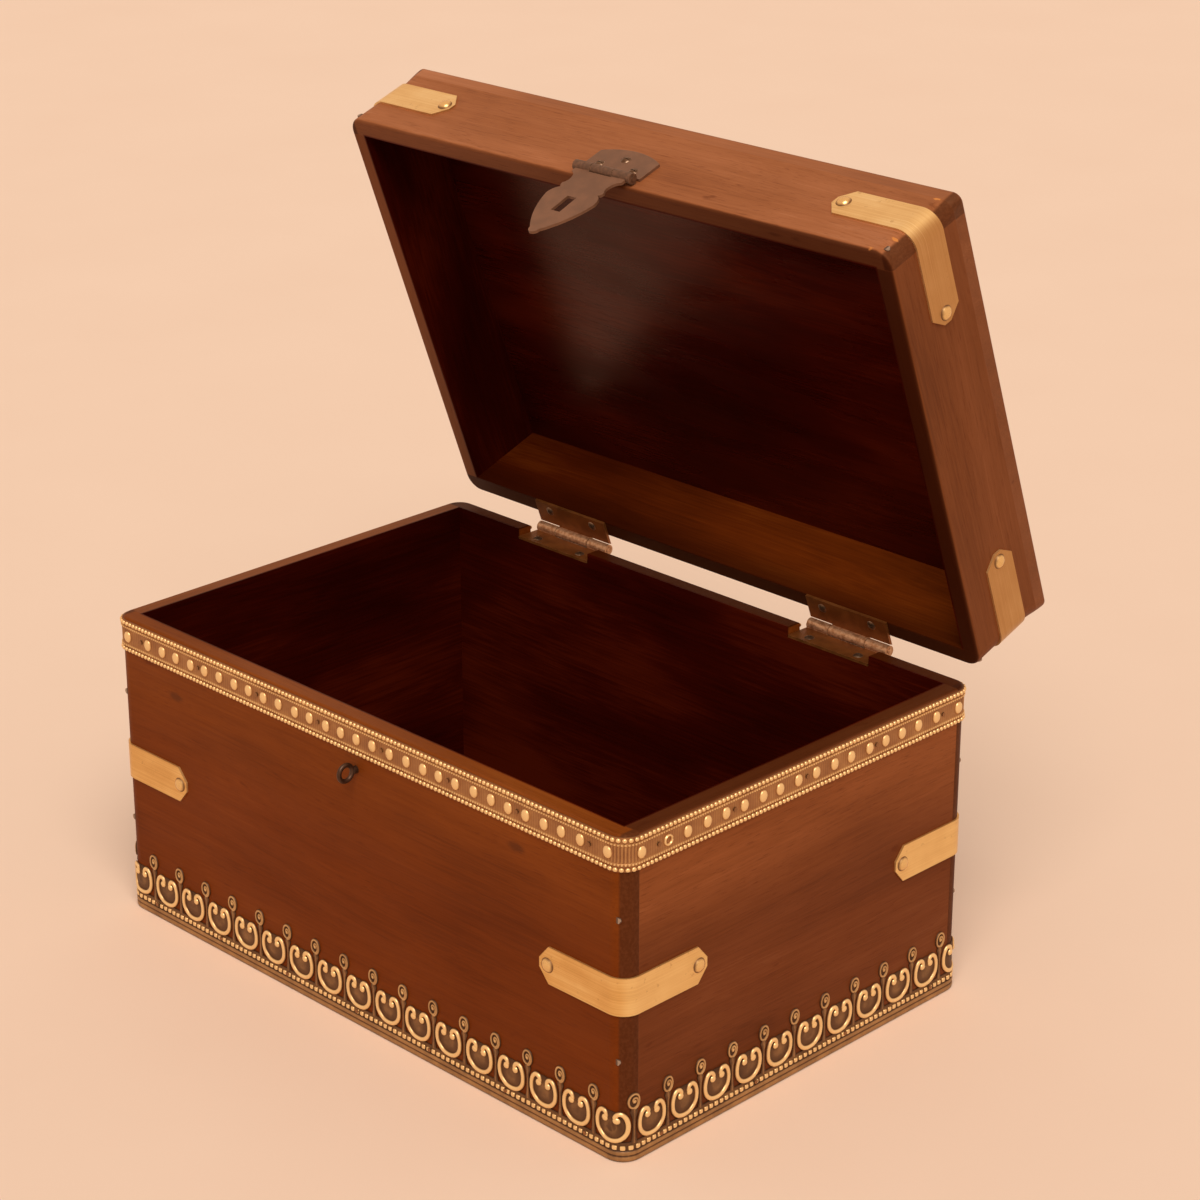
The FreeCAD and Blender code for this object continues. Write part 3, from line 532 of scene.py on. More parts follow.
def brushed_brass(name, on_lid, stops, side_painted_light_stops):
    """Light gold sheet with brushing along its length, duller towards its edges. The faces to the side take
    their own colours as painted light.
    """
    material, tree, surface = start_material(name)
    place = shut_coords(tree, on_lid)
    lines = noise(tree, place, BRUSH_SCALE, rough=0.6)
    tarnish = noise(tree, place, TARNISH_SCALE)
    sheen = blend(tree, ((lines, BRUSH_SHARE), (tarnish, TARNISH_SHARE)))
    # Painted light: faces to the side get their own lighter or darker colours.
    facing = separate(tree, put(tree, "NewGeometry").outputs["Normal"])[0]
    aside = fade(tree, maths(tree, "ABSOLUTE", facing), *ASIDE_FADE)
    colour = mix(tree, aside, ramp(tree, sheen, stops), ramp(tree, sheen, side_painted_light_stops))
    edges = maths(tree, "MULTIPLY", edge_mask(tree, STRAP_EDGE), EDGE_GRIME_SHARE)
    colour = mix(tree, edges, colour, STRAP_GRIME)
    spots = fade(tree, noise(tree, place, SPOT_SCALE, detail=2.0), *SPOT_FADE)
    feed(tree, surface, {
        "Base Color": mix(tree, spots, colour, STRAP_GRIME),
        "Metallic": BRUSHED_METAL,
        "Specular IOR Level": BRUSHED_SHINE,
        "Roughness": fade(tree, sheen, *BRUSHED_ROUGH),
        "Normal": bump(tree, lines, BRUSHED_BUMP, BRUSHED_BUMP_DEPTH),
    })
    return material


# Pressed brass from the patina of its hollows to its bright tops

BAND_GOLD = (
    (0.0, (0.20, 0.080, 0.030)),
    (0.22, (0.35, 0.150, 0.052)),
    (0.50, (0.55, 0.290, 0.105)),
    (0.95, (0.90, 0.61, 0.28)),
)
BORDER_GOLD = (
    (0.0, (0.075, 0.032, 0.013)),
    (0.25, (0.15, 0.068, 0.026)),
    (0.55, (0.44, 0.235, 0.088)),
    (0.95, (0.93, 0.64, 0.29)),
)
PATINA_SCALE = 130.0
PATINA_SHARE = 0.45
DULL_STEP = 0.2
DULL_SHARE = 0.52
ANTIQUE_METAL = 0.6
ANTIQUE_ROUGH = (0.0, 1.0, 0.55, 0.30)
ANTIQUE_GRAIN_SCALE = 1500.0
ANTIQUE_BUMP = 0.20
ANTIQUE_BUMP_DEPTH = 0.05


def antique_brass(name, deep, high, stops, dull_below=0.0):
    """Pressed brass: dark patina in the hollows, bright on what stands out. deep and high are stand-offs,
    and below a level the metal is dull."""
    material, tree, surface = start_material(name)
    place = shut_coords(tree, False)
    patina = maths(tree, "SUBTRACT", noise(tree, place, PATINA_SCALE, detail=4.0, rough=0.6), NOISE_MIDDLE)
    raised = fade_mm(tree, stand_off(tree, place), deep, high)
    raised = maths(tree, "ADD", raised, maths(tree, "MULTIPLY", patina, PATINA_SHARE))
    level = separate(tree, place)[2]
    dull = fade_mm(tree, level, dull_below - DULL_STEP, dull_below + DULL_STEP, DULL_SHARE, 0.0)
    raised = maths(tree, "SUBTRACT", raised, dull)
    fine = noise(tree, place, ANTIQUE_GRAIN_SCALE, detail=2.0)
    feed(tree, surface, {
        "Base Color": ramp(tree, raised, stops),
        "Metallic": ANTIQUE_METAL,
        "Roughness": fade(tree, raised, *ANTIQUE_ROUGH),
        "Normal": bump(tree, fine, ANTIQUE_BUMP, ANTIQUE_BUMP_DEPTH),
    })
    return material


# Heads of nails and pins, each with its dark tone for painted shade and its bright tone for a painted
# highlight

DOME_TONES = ((0.200, 0.100, 0.040), (0.82, 0.54, 0.22))
STEEL_TONES = ((0.15, 0.095, 0.065), (0.42, 0.33, 0.26))
PIN_TONES = ((0.09, 0.040, 0.018), (0.30, 0.14, 0.055))
HEAD_SCALE = 520.0
HEAD_SHARE = 0.7
HEAD_SHADE_STOP = 0.10
HEAD_HIGHLIGHT_STOP = 0.95
HEAD_METAL = 0.8
HEAD_ROUGH = (0.0, 1.0, 0.46, 0.22)


def nail_head(name, on_lid, base, rise, tones):
    """Domed or flat heads: painted shade as a dark ring where the head meets what it holds, and a painted
    highlight that grows brighter as it rises. base is the stand-off where a head begins."""
    material, tree, surface = start_material(name)
    place = shut_coords(tree, on_lid)
    # Painted shade at the foot of each head, and a painted highlight as it rises.
    raised = fade_mm(tree, stand_off(tree, place), base, base + rise)
    cloud = maths(tree, "SUBTRACT", noise(tree, place, HEAD_SCALE), NOISE_MIDDLE)
    lit = maths(tree, "ADD", raised, maths(tree, "MULTIPLY", cloud, HEAD_SHARE))
    dark, bright = tones
    feed(tree, surface, {
        "Base Color": ramp(tree, lit, ((HEAD_SHADE_STOP, dark), (HEAD_HIGHLIGHT_STOP, bright))),
        "Metallic": HEAD_METAL,
        "Roughness": fade(tree, lit, *HEAD_ROUGH),
    })
    return material


# Painted and bare ironwork: the low, high and worn tones of each, and those of the barrels. The hinge
# barrels' lighter tone is partly a painted highlight, and the screws' bright worn tone partly painted glints

HINGE_TONES = ((0.195, 0.058, 0.0105), (0.285, 0.092, 0.0185), (0.54, 0.25, 0.10))
HINGE_BARREL_TONE = (0.54, 0.310, 0.170)
# The screws' bright worn tone is partly real wear and partly painted glints on their rims.
SCREW_TONES = ((0.11, 0.056, 0.029), (0.18, 0.105, 0.060), (0.72, 0.52, 0.36))
HASP_TONES = ((0.150, 0.062, 0.029), (0.212, 0.090, 0.043), (0.34, 0.175, 0.092))
HASP_BARREL_TONE = (0.105, 0.046, 0.022)
IRON_TONES = ((0.045, 0.022, 0.012), (0.090, 0.045, 0.026), (0.30, 0.19, 0.11))
PAINT_SCALE = 120.0
PAINT_FADE = (0.32, 0.68)
BARREL_FROM = 0.1
BARREL_TO = 0.3
BARREL_SCALE = 700.0
BARREL_FADE = (0.35, 0.60, 0.40, 1.0)
PAINT_EDGE = 0.5
PAINT_WEAR_SCALE = 260.0
PAINT_WEAR_FADE = (0.42, 0.66, 0.08, 0.55)
PAINT_SHEEN_FADE = (0.3, 0.7)
PAINT_SMOOTHER = 0.06
PAINT_ROUGHER = 0.08
PEEL_SCALE = 1100.0
PEEL_BUMP = 0.15
PEEL_BUMP_DEPTH = 0.04


def barrel_mask(tree, place, y, z, radius):
    """One on the knuckles round an axis along the length, by how near the axis they are."""
    axes = separate(tree, place)
    across = maths(tree, "SUBTRACT", axes[1], y * MM)
    above = maths(tree, "SUBTRACT", axes[2], z * MM)
    return fade_mm(tree, reach(tree, across, above), radius + BARREL_FROM, radius + BARREL_TO, 1.0, 0.0)


def painted_metal(name, tones, rough, metallic, barrel=None, barrel_tone=None):
    """Satin lacquer over steel: cloudy tone, fine orange peel and rubbed edges. barrel is the axis and radius
    of knuckles that have their own tone in mottled spots; on the hinges that lighter tone is partly a painted
    highlight."""
    material, tree, surface = start_material(name)
    low, high, wear = tones
    place = frame_coords(tree)
    cloud = noise(tree, place, PAINT_SCALE, detail=4.0, rough=0.6)
    colour = mix(tree, fade(tree, cloud, *PAINT_FADE), low, high)
    # The knuckles' own tone in mottled spots; on the hinges it is partly a painted highlight.
    if barrel:
        barrel_spots = fade(tree, noise(tree, place, BARREL_SCALE), *BARREL_FADE)
        barrel_spots = maths(tree, "MULTIPLY", barrel_mask(tree, place, *barrel), barrel_spots)
        colour = mix(tree, barrel_spots, colour, barrel_tone)
    # Worn edges; on the screws their bright tone is partly painted glints.
    bare = fade(tree, noise(tree, place, PAINT_WEAR_SCALE), *PAINT_WEAR_FADE)
    bare = maths(tree, "MULTIPLY", edge_mask(tree, PAINT_EDGE), bare)
    peel = noise(tree, place, PEEL_SCALE, detail=2.0)
    feed(tree, surface, {
        "Base Color": mix(tree, bare, colour, wear),
        "Metallic": metallic,
        "Roughness": fade(tree, cloud, *PAINT_SHEEN_FADE, rough - PAINT_SMOOTHER, rough + PAINT_ROUGHER),
        "Normal": bump(tree, peel, PEEL_BUMP, PEEL_BUMP_DEPTH),
    })
    return material


# Relief laid out along the trim and wrapped round the box

WIRE_STEPS = 5
SHARP_ANGLE = math.radians(38.0)
SOFT_CORNER = 0.45


def side_of(run):
    """The side that a run round the box lies on, with the corner after it, and how far along it."""
    rest = run % PERIMETER
    for side in SIDES:
        length = side[1]
        if rest < length + CORNER_ARC:
            break
        rest -= length + CORNER_ARC
    return side, rest


def around(run, z, out):
    """The place in the frame that lies run millimetres round the box, at height z, standing out from the
    boards. The run starts at the left end of the front's straight stretch and goes round by the right."""
    (turn, length, face), rest = side_of(run)
    bend = max(rest - length, 0.0) / CORNER_RADIUS
    radius = CORNER_RADIUS + out
    x = min(rest, length) - length / 2 + math.sin(bend) * radius
    y = CORNER_RADIUS - face - math.cos(bend) * radius
    return Matrix.Rotation(turn, 3, "Z") @ Vector((x, y, z)) * MM


def side_run(side, offset):
    """The run of a place that lies offset from the middle of one side, to the right as seen from outside."""
    start = sum(length + CORNER_ARC for _, length, _ in SIDES[:side])
    return start + SIDES[side][1] / 2 + offset


class Relief:
    """Collects faces given in run, height and stand-off."""

    def __init__(self):
        self.points = []
        self.faces = []

    def grid(self, rows, rows_closed=False, columns_closed=False, cap=False):
        """Faces between rows of points; cap closes the last row with one face."""
        start = len(self.points)
        wide = len(rows[0])
        for row in rows:
            self.points.extend(around(*point) for point in row)
        row_steps = len(rows) if rows_closed else len(rows) - 1
        column_steps = wide if columns_closed else wide - 1
        for row in range(row_steps):
            first = start + row * wide
            second = start + (row + 1) % len(rows) * wide
            for column in range(column_steps):
                beyond = (column + 1) % wide
                self.faces.append((first + column, first + beyond, second + beyond, second + column))
        if cap:
            last = start + (len(rows) - 1) * wide
            self.faces.append(tuple(range(last, last + wide)))

    def boss(self, run, z, outline, levels):
        """A raised boss: outline gives its plan, levels its size and stand-off from foot to top."""
        rows = []
        for size, out in levels:
            rows.append([(run + size * u, z + size * v, out) for u, v in outline])
        self.grid(rows, columns_closed=True, cap=True)

    def wire(self, run, z, path, half, low, high, steps=WIRE_STEPS):
        """A half-round bead of metal along a path of places in the plane of the face."""
        rows = []
        for index, (u, v) in enumerate(path):
            back = path[max(index - 1, 0)]
            on = path[min(index + 1, len(path) - 1)]
            du, dv = on[0] - back[0], on[1] - back[1]
            size = math.hypot(du, dv)
            du, dv = du / size, dv / size
            row = []
            for step in range(steps + 1):
                angle = math.pi * step / steps
                aside = -half * math.cos(angle)
                row.append((run + u - dv * aside, z + v + du * aside, low + (high - low) * math.sin(angle)))
            rows.append(row)
        self.grid(rows)

    def piece(self, name, material):
        mesh = bpy.data.meshes.new(name)
        mesh.from_pydata([tuple(point) for point in self.points], [], self.faces)
        mesh.materials.append(material)
        mesh.shade_smooth()
        mesh.set_sharp_from_angle(angle=SHARP_ANGLE)
        mesh.update()
        made = bpy.data.objects.new(name, mesh)
        bpy.context.scene.collection.objects.link(made)
        return made


def circle(count):
    angles = [2 * math.pi * step / count for step in range(count)]
    return [(math.cos(angle), math.sin(angle)) for angle in angles]


def oval(count, half_width, half_height):
    return [(half_width * u, half_height * v) for u, v in circle(count)]


def soft_square(count):
    """A square with full rounded corners, one across its half-width."""
    plan = []
    for u, v in circle(count):
        plan.append((math.copysign(abs(u) ** SOFT_CORNER, u), math.copysign(abs(v) ** SOFT_CORNER, v)))
    return plan


def smooth_path(knots, steps):
    """A smooth line through the knots."""
    ends = [knots[0]] + list(knots) + [knots[-1]]
    path = []
    for index in range(1, len(ends) - 2):
        before, here, there, after = ends[index - 1:index + 3]
        for step in range(steps):
            t = step / steps
            point = []
            for p0, p1, p2, p3 in zip(before, here, there, after):
                slope = (2 * p0 - 5 * p1 + 4 * p2 - p3) * t ** 2 + (3 * p1 - p0 - 3 * p2 + p3) * t ** 3
                point.append(0.5 * (2 * p1 + (p2 - p0) * t + slope))
            path.append(tuple(point))
    path.append(tuple(knots[-1]))
    return path


# The beaded band. Levels are sizes and stand-offs, wires half-widths and their low and high stand-offs.

BAND_BOTTOM = 123.0
BAND_TOP = 137.2
BAND_MIDDLE = (BAND_BOTTOM + BAND_TOP) / 2
NOTCH_GAP = 0.3
NOTCH_DROP = 0.05
CORNER_REACH = CORNER_ARC * 0.75
BAND_EDGE = ((0.00, -0.15), (0.00, 0.32), (0.15, 0.38), (2.05, 0.38), (2.25, 0.40), (2.55, 0.42))
TICK_PITCH = 1.3
TICK_SPAN = (2.72, 3.35)
TICK_HIGH = 1.02
TICK_LOW = 0.50
TICK_FOOT = (3.55, 0.48)
CHANNEL_SPAN = (4.20, 5.80)
CHANNEL_OUT = 0.42
FLUTE = 0.05
CORNER_FLUTE = 0.16
BEAD_PITCH = 2.2
BEAD_RADIUS = 0.97
BEAD_INSET = 1.12
BEAD_SIDES = 10
BEAD_SIZES = (0.94, 1.03)
BEAD_LEVELS = ((1.0, 0.20), (0.97, 0.75), (0.80, 1.08), (0.48, 1.27), (0.16, 1.32))
DOT_LEVELS = ((1.0, 0.30), (0.98, 0.62), (0.88, 0.98), (0.70, 1.27), (0.46, 1.47), (0.20, 1.57), (0.06, 1.58))
DOT_HALF_WIDTH = 2.2
DOT_HALF_HEIGHT = 2.65
DOT_SIDES = 22
DOT_PITCH = 9.7
DOT_PIN_GAP = 4.9
DOT_CORNER_GAP = 1.0
DOT_STRAY_ALONG = 0.6
DOT_STRAY_UP = 0.2
DOT_RING_RADIUS = 1.9
DOT_RING_SIDES = 24
DOT_RING_WIRE = (0.55, 0.35, 1.15)
FRONT_PINS = (-134.75, -96.25, -57.75, -19.25, 19.25, 57.75, 96.25, 134.75)
SIDE_PINS = (-82.25, -41.125, 0.0, 41.125, 82.25)
BACK_PINS = (-134.75, -82.5, 0.0, 82.5, 134.75)
BAND_PINS = (FRONT_PINS, SIDE_PINS, BACK_PINS, SIDE_PINS)


def in_notch(run):
    """True where the back is cut away for a hinge."""
    for centre in (-HINGE_OFFSET, HINGE_OFFSET):
        if abs(run - side_run(BACK, centre)) < NOTCH_HALF + NOTCH_GAP:
            return True
    return False


def corner_share(run):
    """One in the middle of a corner, nothing on the straight sides."""
    (_, length, _), rest = side_of(run)
    return max(0.0, 1.0 - abs(rest - length - CORNER_ARC / 2) / CORNER_REACH)


def band_section(run, raised):
    """The band's section at one place: edges, milled lines and fluted channel."""
    tick = TICK_HIGH if raised else TICK_LOW
    swing = FLUTE + CORNER_FLUTE * corner_share(run)
    flute = CHANNEL_OUT + (swing if raised else -swing)
    lower = list(BAND_EDGE)
    lower += [(z, tick) for z in TICK_SPAN]
    lower.append(TICK_FOOT)
    lower += [(z, flute) for z in CHANNEL_SPAN]
    height = BAND_TOP - BAND_BOTTOM
    section = lower + [(height - z, out) for z, out in reversed(lower)]
    ceiling = NOTCH_FLOOR - NOTCH_DROP if in_notch(run) else BAND_TOP
    return [(run, min(BAND_BOTTOM + z, ceiling), out) for z, out in section]


def band_dots():
    """The side and offset of each flat round dot, spaced between the pins of each side."""
    dots = []
    for side, pins in enumerate(BAND_PINS):
        last_offset = SIDES[side][1] / 2 - DOT_CORNER_GAP
        for low, high in zip(pins, pins[1:]):
            first, last = low + DOT_PIN_GAP, high - DOT_PIN_GAP
            count = max(2, round((last - first) / DOT_PITCH) + 1)
            for step in range(count):
                offset = first + (last - first) * step / (count - 1)
                dots.append((side, offset))
        dots.append((side, -last_offset))
        dots.append((side, last_offset))
    return dots


def add_beads(band):
    """A row of small beads along each edge of the band, leaving out the notches."""
    beads = round(PERIMETER / BEAD_PITCH)
    plan = circle(BEAD_SIDES)
    for row, z in enumerate((BAND_BOTTOM + BEAD_INSET, BAND_TOP - BEAD_INSET)):
        for bead in range(beads):
            run = PERIMETER * (bead + 0.5 * row) / beads
            if row == 1 and in_notch(run):
                continue
            grow = BEAD_RADIUS * chance.uniform(*BEAD_SIZES)
            levels = [(grow * size, out) for size, out in BEAD_LEVELS]
            band.boss(run, z, plan, levels)


def add_dots(band):
    """The dots along the band's channel. One on the right has lost its middle and is a ring."""
    plan = oval(DOT_SIDES, DOT_HALF_WIDTH, DOT_HALF_HEIGHT)
    ring = oval(DOT_RING_SIDES, DOT_RING_RADIUS, DOT_RING_RADIUS)
    ring_done = False
    for side, offset in band_dots():
        run = side_run(side, offset + chance.uniform(-DOT_STRAY_ALONG, DOT_STRAY_ALONG))
        if in_notch(run):
            continue
        z = BAND_MIDDLE + chance.uniform(-DOT_STRAY_UP, DOT_STRAY_UP)
        if side == RIGHT and not ring_done and offset > SIDE_PINS[0]:
            band.wire(run, z, ring + ring[:2], *DOT_RING_WIRE)
            ring_done = True
            continue
        band.boss(run, z, plan, DOT_LEVELS)


def build_band(material):
    band = Relief()
    samples = 2 * round(PERIMETER / TICK_PITCH)
    rows = []
    for sample in range(samples):
        rows.append(band_section(PERIMETER * sample / samples, sample % 2 == 0))
    band.grid(rows, rows_closed=True, columns_closed=True)
    add_beads(band)
    add_dots(band)
    return band.piece("beaded_band_relief", material)


# The scrolled border

LOOP_LEAD = 0.9
LOOP_COUNT = 55
LOOP_PITCH = PERIMETER / LOOP_COUNT
LOOP_CENTRE = 14.7
HEART = (
    (0.0, -6.05), (3.6, -5.2), (6.1, -2.4), (6.65, 1.2), (5.9, 4.3), (4.3, 5.9), (2.7, 5.6), (1.9, 4.2),
    (2.5, 3.0),
)
LOOP_STEPS = 4
LOOP_WIRE = (1.05, 0.30, 1.38)
BALL_SIDES = 12
BALL_LEVELS = ((1.50, 0.35), (1.48, 0.85), (1.22, 1.25), (0.72, 1.50), (0.22, 1.56))
SHEET_HALF_WIDTH = 7.2
SHEET_HALF_HEIGHT = 6.6
SHEET_SIDES = 28
SHEET_LEVELS = ((1.0, -0.1), (1.0, 0.38), (0.7, 0.50), (0.35, 0.62))
BUD_CENTRE = 25.75
BUD_HALF_WIDTH = 2.9
BUD_HALF_HEIGHT = 3.75
BUD_HALF_WIRE = 0.62
BUD_WIRE_OUT = (0.15, 0.92)
BUD_WIRE_STEPS = 4
BUD_TURNS = 1.7
BUD_STEPS = 44
BUD_WIND_FROM = 0.5
BUD_WIND = 0.72
BUD_BEAD_SIDES = 10
BUD_BEAD_LEVELS = ((0.95, 0.20), (0.88, 0.70), (0.45, 0.95))
BUD_PLATE_SIDES = 20
BUD_PLATE_LEVELS = ((0.95, -0.1), (0.95, 0.25), (0.6, 0.32))
STEM = ((7.6, 1.4), (10.5, 0.8), (15.0, 0.6), (18.5, 0.8), (21.2, 1.7), (23.0, 1.0))
STEM_SECTION = ((-1.0, -0.1), (-1.0, 0.45), (0.0, 0.72), (1.0, 0.45), (1.0, -0.1))
STUD_PITCH = 2.9
STUD_CENTRE = 6.05
STUD_SIDES = 12
STUD_SIZES = (0.96, 1.04)
STUD_LEVELS = ((1.02, 0.40), (1.00, 0.85), (0.84, 1.16), (0.42, 1.26))
RIM_STEP = 2.0
RIM_SECTION = (
    (0.0, -0.15), (0.0, 0.80), (0.30, 1.10), (1.10, 1.28), (1.90, 1.22), (2.35, 0.88), (2.65, 0.88),
    (3.00, 1.20), (4.00, 1.25), (4.40, 1.00), (4.70, 0.60), (7.60, 0.60), (8.20, 0.45), (8.20, -0.15),
)


def add_sheet(border, run):
    """The thin pressed sheet behind a loop, gently crowned in the middle."""
    plan = oval(SHEET_SIDES, SHEET_HALF_WIDTH, SHEET_HALF_HEIGHT)
    border.boss(run, LOOP_CENTRE, plan, SHEET_LEVELS)


def add_loop(border, run):
    """One heart-shaped loop with its two curled ends."""
    knots = [(-u, v) for u, v in reversed(HEART)] + list(HEART[1:])
    border.wire(run, LOOP_CENTRE, smooth_path(knots, LOOP_STEPS), *LOOP_WIRE)
    ball_u, ball_v = HEART[-1]
    for sign in (-1, 1):
        border.boss(run + sign * ball_u, LOOP_CENTRE + ball_v, circle(BALL_SIDES), BALL_LEVELS)


def add_bud(border, run):
    """One bud: a low stem that widens at both ends, and an oval ring that winds in to a bead."""
    path = []
    for step in range(BUD_STEPS + 1):
        share = step / BUD_STEPS
        angle = -QUARTER + 2 * math.pi * BUD_TURNS * share
        shrink = 1.0 - BUD_WIND * max(0.0, share - BUD_WIND_FROM) / (1.0 - BUD_WIND_FROM)
        wide = (BUD_HALF_WIDTH - BUD_HALF_WIRE) * shrink
        tall = (BUD_HALF_HEIGHT - BUD_HALF_WIRE) * shrink
        path.append((wide * math.cos(angle), tall * math.sin(angle)))
    border.wire(run, BUD_CENTRE, path, BUD_HALF_WIRE, *BUD_WIRE_OUT, steps=BUD_WIRE_STEPS)
    border.boss(run, BUD_CENTRE, circle(BUD_BEAD_SIDES), BUD_BEAD_LEVELS)
    plate = oval(BUD_PLATE_SIDES, BUD_HALF_WIDTH, BUD_HALF_HEIGHT)
    border.boss(run, BUD_CENTRE, plate, BUD_PLATE_LEVELS)
    rows = []
    for z, half in STEM:
        rows.append([(run + half * u, z, out) for u, out in STEM_SECTION])
    border.grid(rows)


def add_rim(border):
    """The rounded double rim along the border's foot."""
    samples = round(PERIMETER / RIM_STEP)
    rows = []
    for sample in range(samples):
        run = PERIMETER * sample / samples
        rows.append([(run, z, out) for z, out in RIM_SECTION])
    border.grid(rows, rows_closed=True, columns_closed=True)


def add_studs(border):
    """The row of small square studs above the rim."""
    studs = round(PERIMETER / STUD_PITCH)
    plan = soft_square(STUD_SIDES)
    for stud in range(studs):
        levels = [(size * chance.uniform(*STUD_SIZES), out) for size, out in STUD_LEVELS]
        border.boss(PERIMETER * stud / studs, STUD_CENTRE, plan, levels)


def build_border(material):
    border = Relief()
    add_rim(border)
    add_studs(border)
    for step in range(LOOP_COUNT):
        run = LOOP_LEAD + step * LOOP_PITCH
        add_sheet(border, run)
        add_loop(border, run)
        add_bud(border, run + LOOP_PITCH / 2)
    return border.piece("scroll_border_relief", material)


# Dressing

CORNERS = ("front_left", "front_right", "back_left", "back_right")
HINGES = ("left_hinge", "right_hinge")

# How much painted shade darkens the rims at the left and the right
BOX_BACK_RIM = (0.80, 0.80)
BOX_SIDE_RIM = (0.25, 0.75)
LID_FRONT_RIM = (0.50, 0.82)
LID_BACK_RIM = (0.85, 0.85)
LID_SIDE_RIM = (0.05, 0.88)


def paint(names, material):
    """Gives CAD nodes one material."""
    for name in names:
        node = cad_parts[name]
        if not node.material_slots:
            node.data.materials.append(material)
        for place in node.material_slots:
            place.material = material


def dress_box_boards():
    long = {"along": "x", "ends": "board", "painted_sheen_tone": FRONT_PAINTED_SHEEN_TONE}
    paint(["front_board"], wood("wood_front", seed=3, knots=KNOTS, **long))
    paint(["back_board"], wood("wood_back", seed=5, rim_shade=BOX_BACK_RIM, **long))
    short = {"along": "y", "tone": SIDE_TONE, "painted_sheen_tone": SIDE_PAINTED_SHEEN_TONE, "rim_shade": BOX_SIDE_RIM}
    paint(["left_board"], wood("wood_left", seed=8, **short))
    paint(["right_board"], wood("wood_right", seed=12, **short))
    paint(["base_panel"], wood("wood_base", along="x", seed=17))


def dress_lid_boards():
    long = {"along": "x", "on_lid": True}
    front = {"ends": "board", "tone": LID_FRONT_TONE, "rim_shade": LID_FRONT_RIM, "chips": CHIPS}
    paint(["lid_front_board"], wood("wood_lid_front", seed=21, **long, **front))
    hollow = {"inner": LID_BACK_SHADED_LEFT, "inner_lit_right": LID_BACK_LIT_RIGHT}
    back = {"tone": LID_SIDE_TONE, "rim_shade": LID_BACK_RIM, **hollow}
    paint(["lid_back_board"], wood("wood_lid_back", seed=26, **long, **back))
    short = {"along": "y", "on_lid": True, "tone": LID_SIDE_TONE, "rim_shade": LID_SIDE_RIM}
    paint(["lid_left_board"], wood("wood_lid_left", seed=31, **short))
    paint(["lid_right_board"], wood("wood_lid_right", seed=34, **short))
    panel = {"ends": "panel", "tone": LID_SIDE_TONE, "shine": PANEL_SHINE, "polish": PANEL_POLISH}
    paint(["lid_top_panel"], wood("wood_lid_top", seed=39, **long, **panel))


def dress_straps():
    box_brass = brushed_brass("strap_brass_box", False, BOX_BRASS, BOX_SIDE_BRASS_LIT)
    lid_brass = brushed_brass("strap_brass_lid", True, LID_BRASS, LID_SIDE_BRASS_SHADED)
    paint([corner + "_corner_strap" for corner in CORNERS], box_brass)
    paint(["lid_" + corner + "_strap" for corner in CORNERS], lid_brass)


def dress_nails():
    dome = {"base": 0.85, "rise": 1.1, "tones": DOME_TONES}
    paint(["corner_strap_nails"], nail_head("dome_nails_box", False, **dome))
    paint(["lid_strap_nails"], nail_head("dome_nails_lid", True, **dome))
    steel = {"base": 0.25, "rise": 0.25, "tones": STEEL_TONES}
    paint(["corner_nails", "base_nails"], nail_head("nail_steel_box", False, **steel))
    paint(["lid_corner_nails", "lid_top_nails"], nail_head("nail_steel_lid", True, **steel))
    pins = nail_head("trim_pins", False, base=0.6, rise=0.45, tones=PIN_TONES)
    paint(["band_pins", "border_pins"], pins)


def dress_ironwork():
    hinge_look = {"barrel": (HINGE_Y, HINGE_Z, HINGE_BARREL), "barrel_tone": HINGE_BARREL_TONE}
    hinge_paint = painted_metal("hinge_metal", HINGE_TONES, rough=0.38, metallic=0.6, **hinge_look)
    for hinge in HINGES:
        paint([hinge + part for part in ("_box_leaf", "_lid_leaf", "_pin")], hinge_paint)
    screw_paint = painted_metal("screw_metal", SCREW_TONES, rough=0.32, metallic=0.8)
    paint(["hinge_box_screws", "hinge_lid_screws", "hasp_screws"], screw_paint)
    hasp_look = {"barrel": (*opened(HASP_Y, HASP_Z), HASP_BARREL), "barrel_tone": HASP_BARREL_TONE}
    hasp_paint = painted_metal("hasp_metal", HASP_TONES, rough=0.5, metallic=0.2, **hasp_look)
    paint(["hasp_plate", "hasp_strap", "hasp_pin"], hasp_paint)
    paint(["staple"], painted_metal("staple_iron", IRON_TONES, rough=0.38, metallic=0.7))


def dress_trim():
    band = build_band(antique_brass("trim_brass_band", deep=0.05, high=1.20, stops=BAND_GOLD))
    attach(band, "box")
    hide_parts("beaded_band")
    border_brass = antique_brass("trim_brass_border", deep=0.25, high=1.25, stops=BORDER_GOLD, dull_below=4.9)
    border = build_border(border_brass)
    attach(border, "box")
    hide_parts("scroll_border")


# Floor, light and camera

GROUND_TONES = ((0.885, 0.605, 0.435), (0.915, 0.635, 0.462))
GROUND_SCALE = 9.0
GROUND_ROUGH = 0.9
GROUND_SHINE = 0.1
FLOOR_REACH = 9.0
FLOOR_DROP = 0.2
WORLD_COLOUR = (1.0, 0.97, 0.93, 1.0)
WORLD_STRENGTH = 0.42
BACKDROP_COLOUR = (0.88, 0.59, 0.415, 1.0)
BACKDROP_STRENGTH = 1.0
KEY_STRENGTH = 2.3
KEY_SPREAD = math.radians(40.0)
KEY_COLOUR = (1.0, 0.965, 0.92)
KEY_DIRECTION = Vector((-0.55, 0.50, -1.0))
CAMERA_PLACE = Vector((0.87445, -0.83452, 0.65058))
CAMERA_AIM = Vector((0.0400, 0.0, 0.1709))
CAMERA_LENS = 94.64
CAMERA_SENSOR = 36.0
CAMERA_NEAR = 0.01
CAMERA_FAR = 60.0


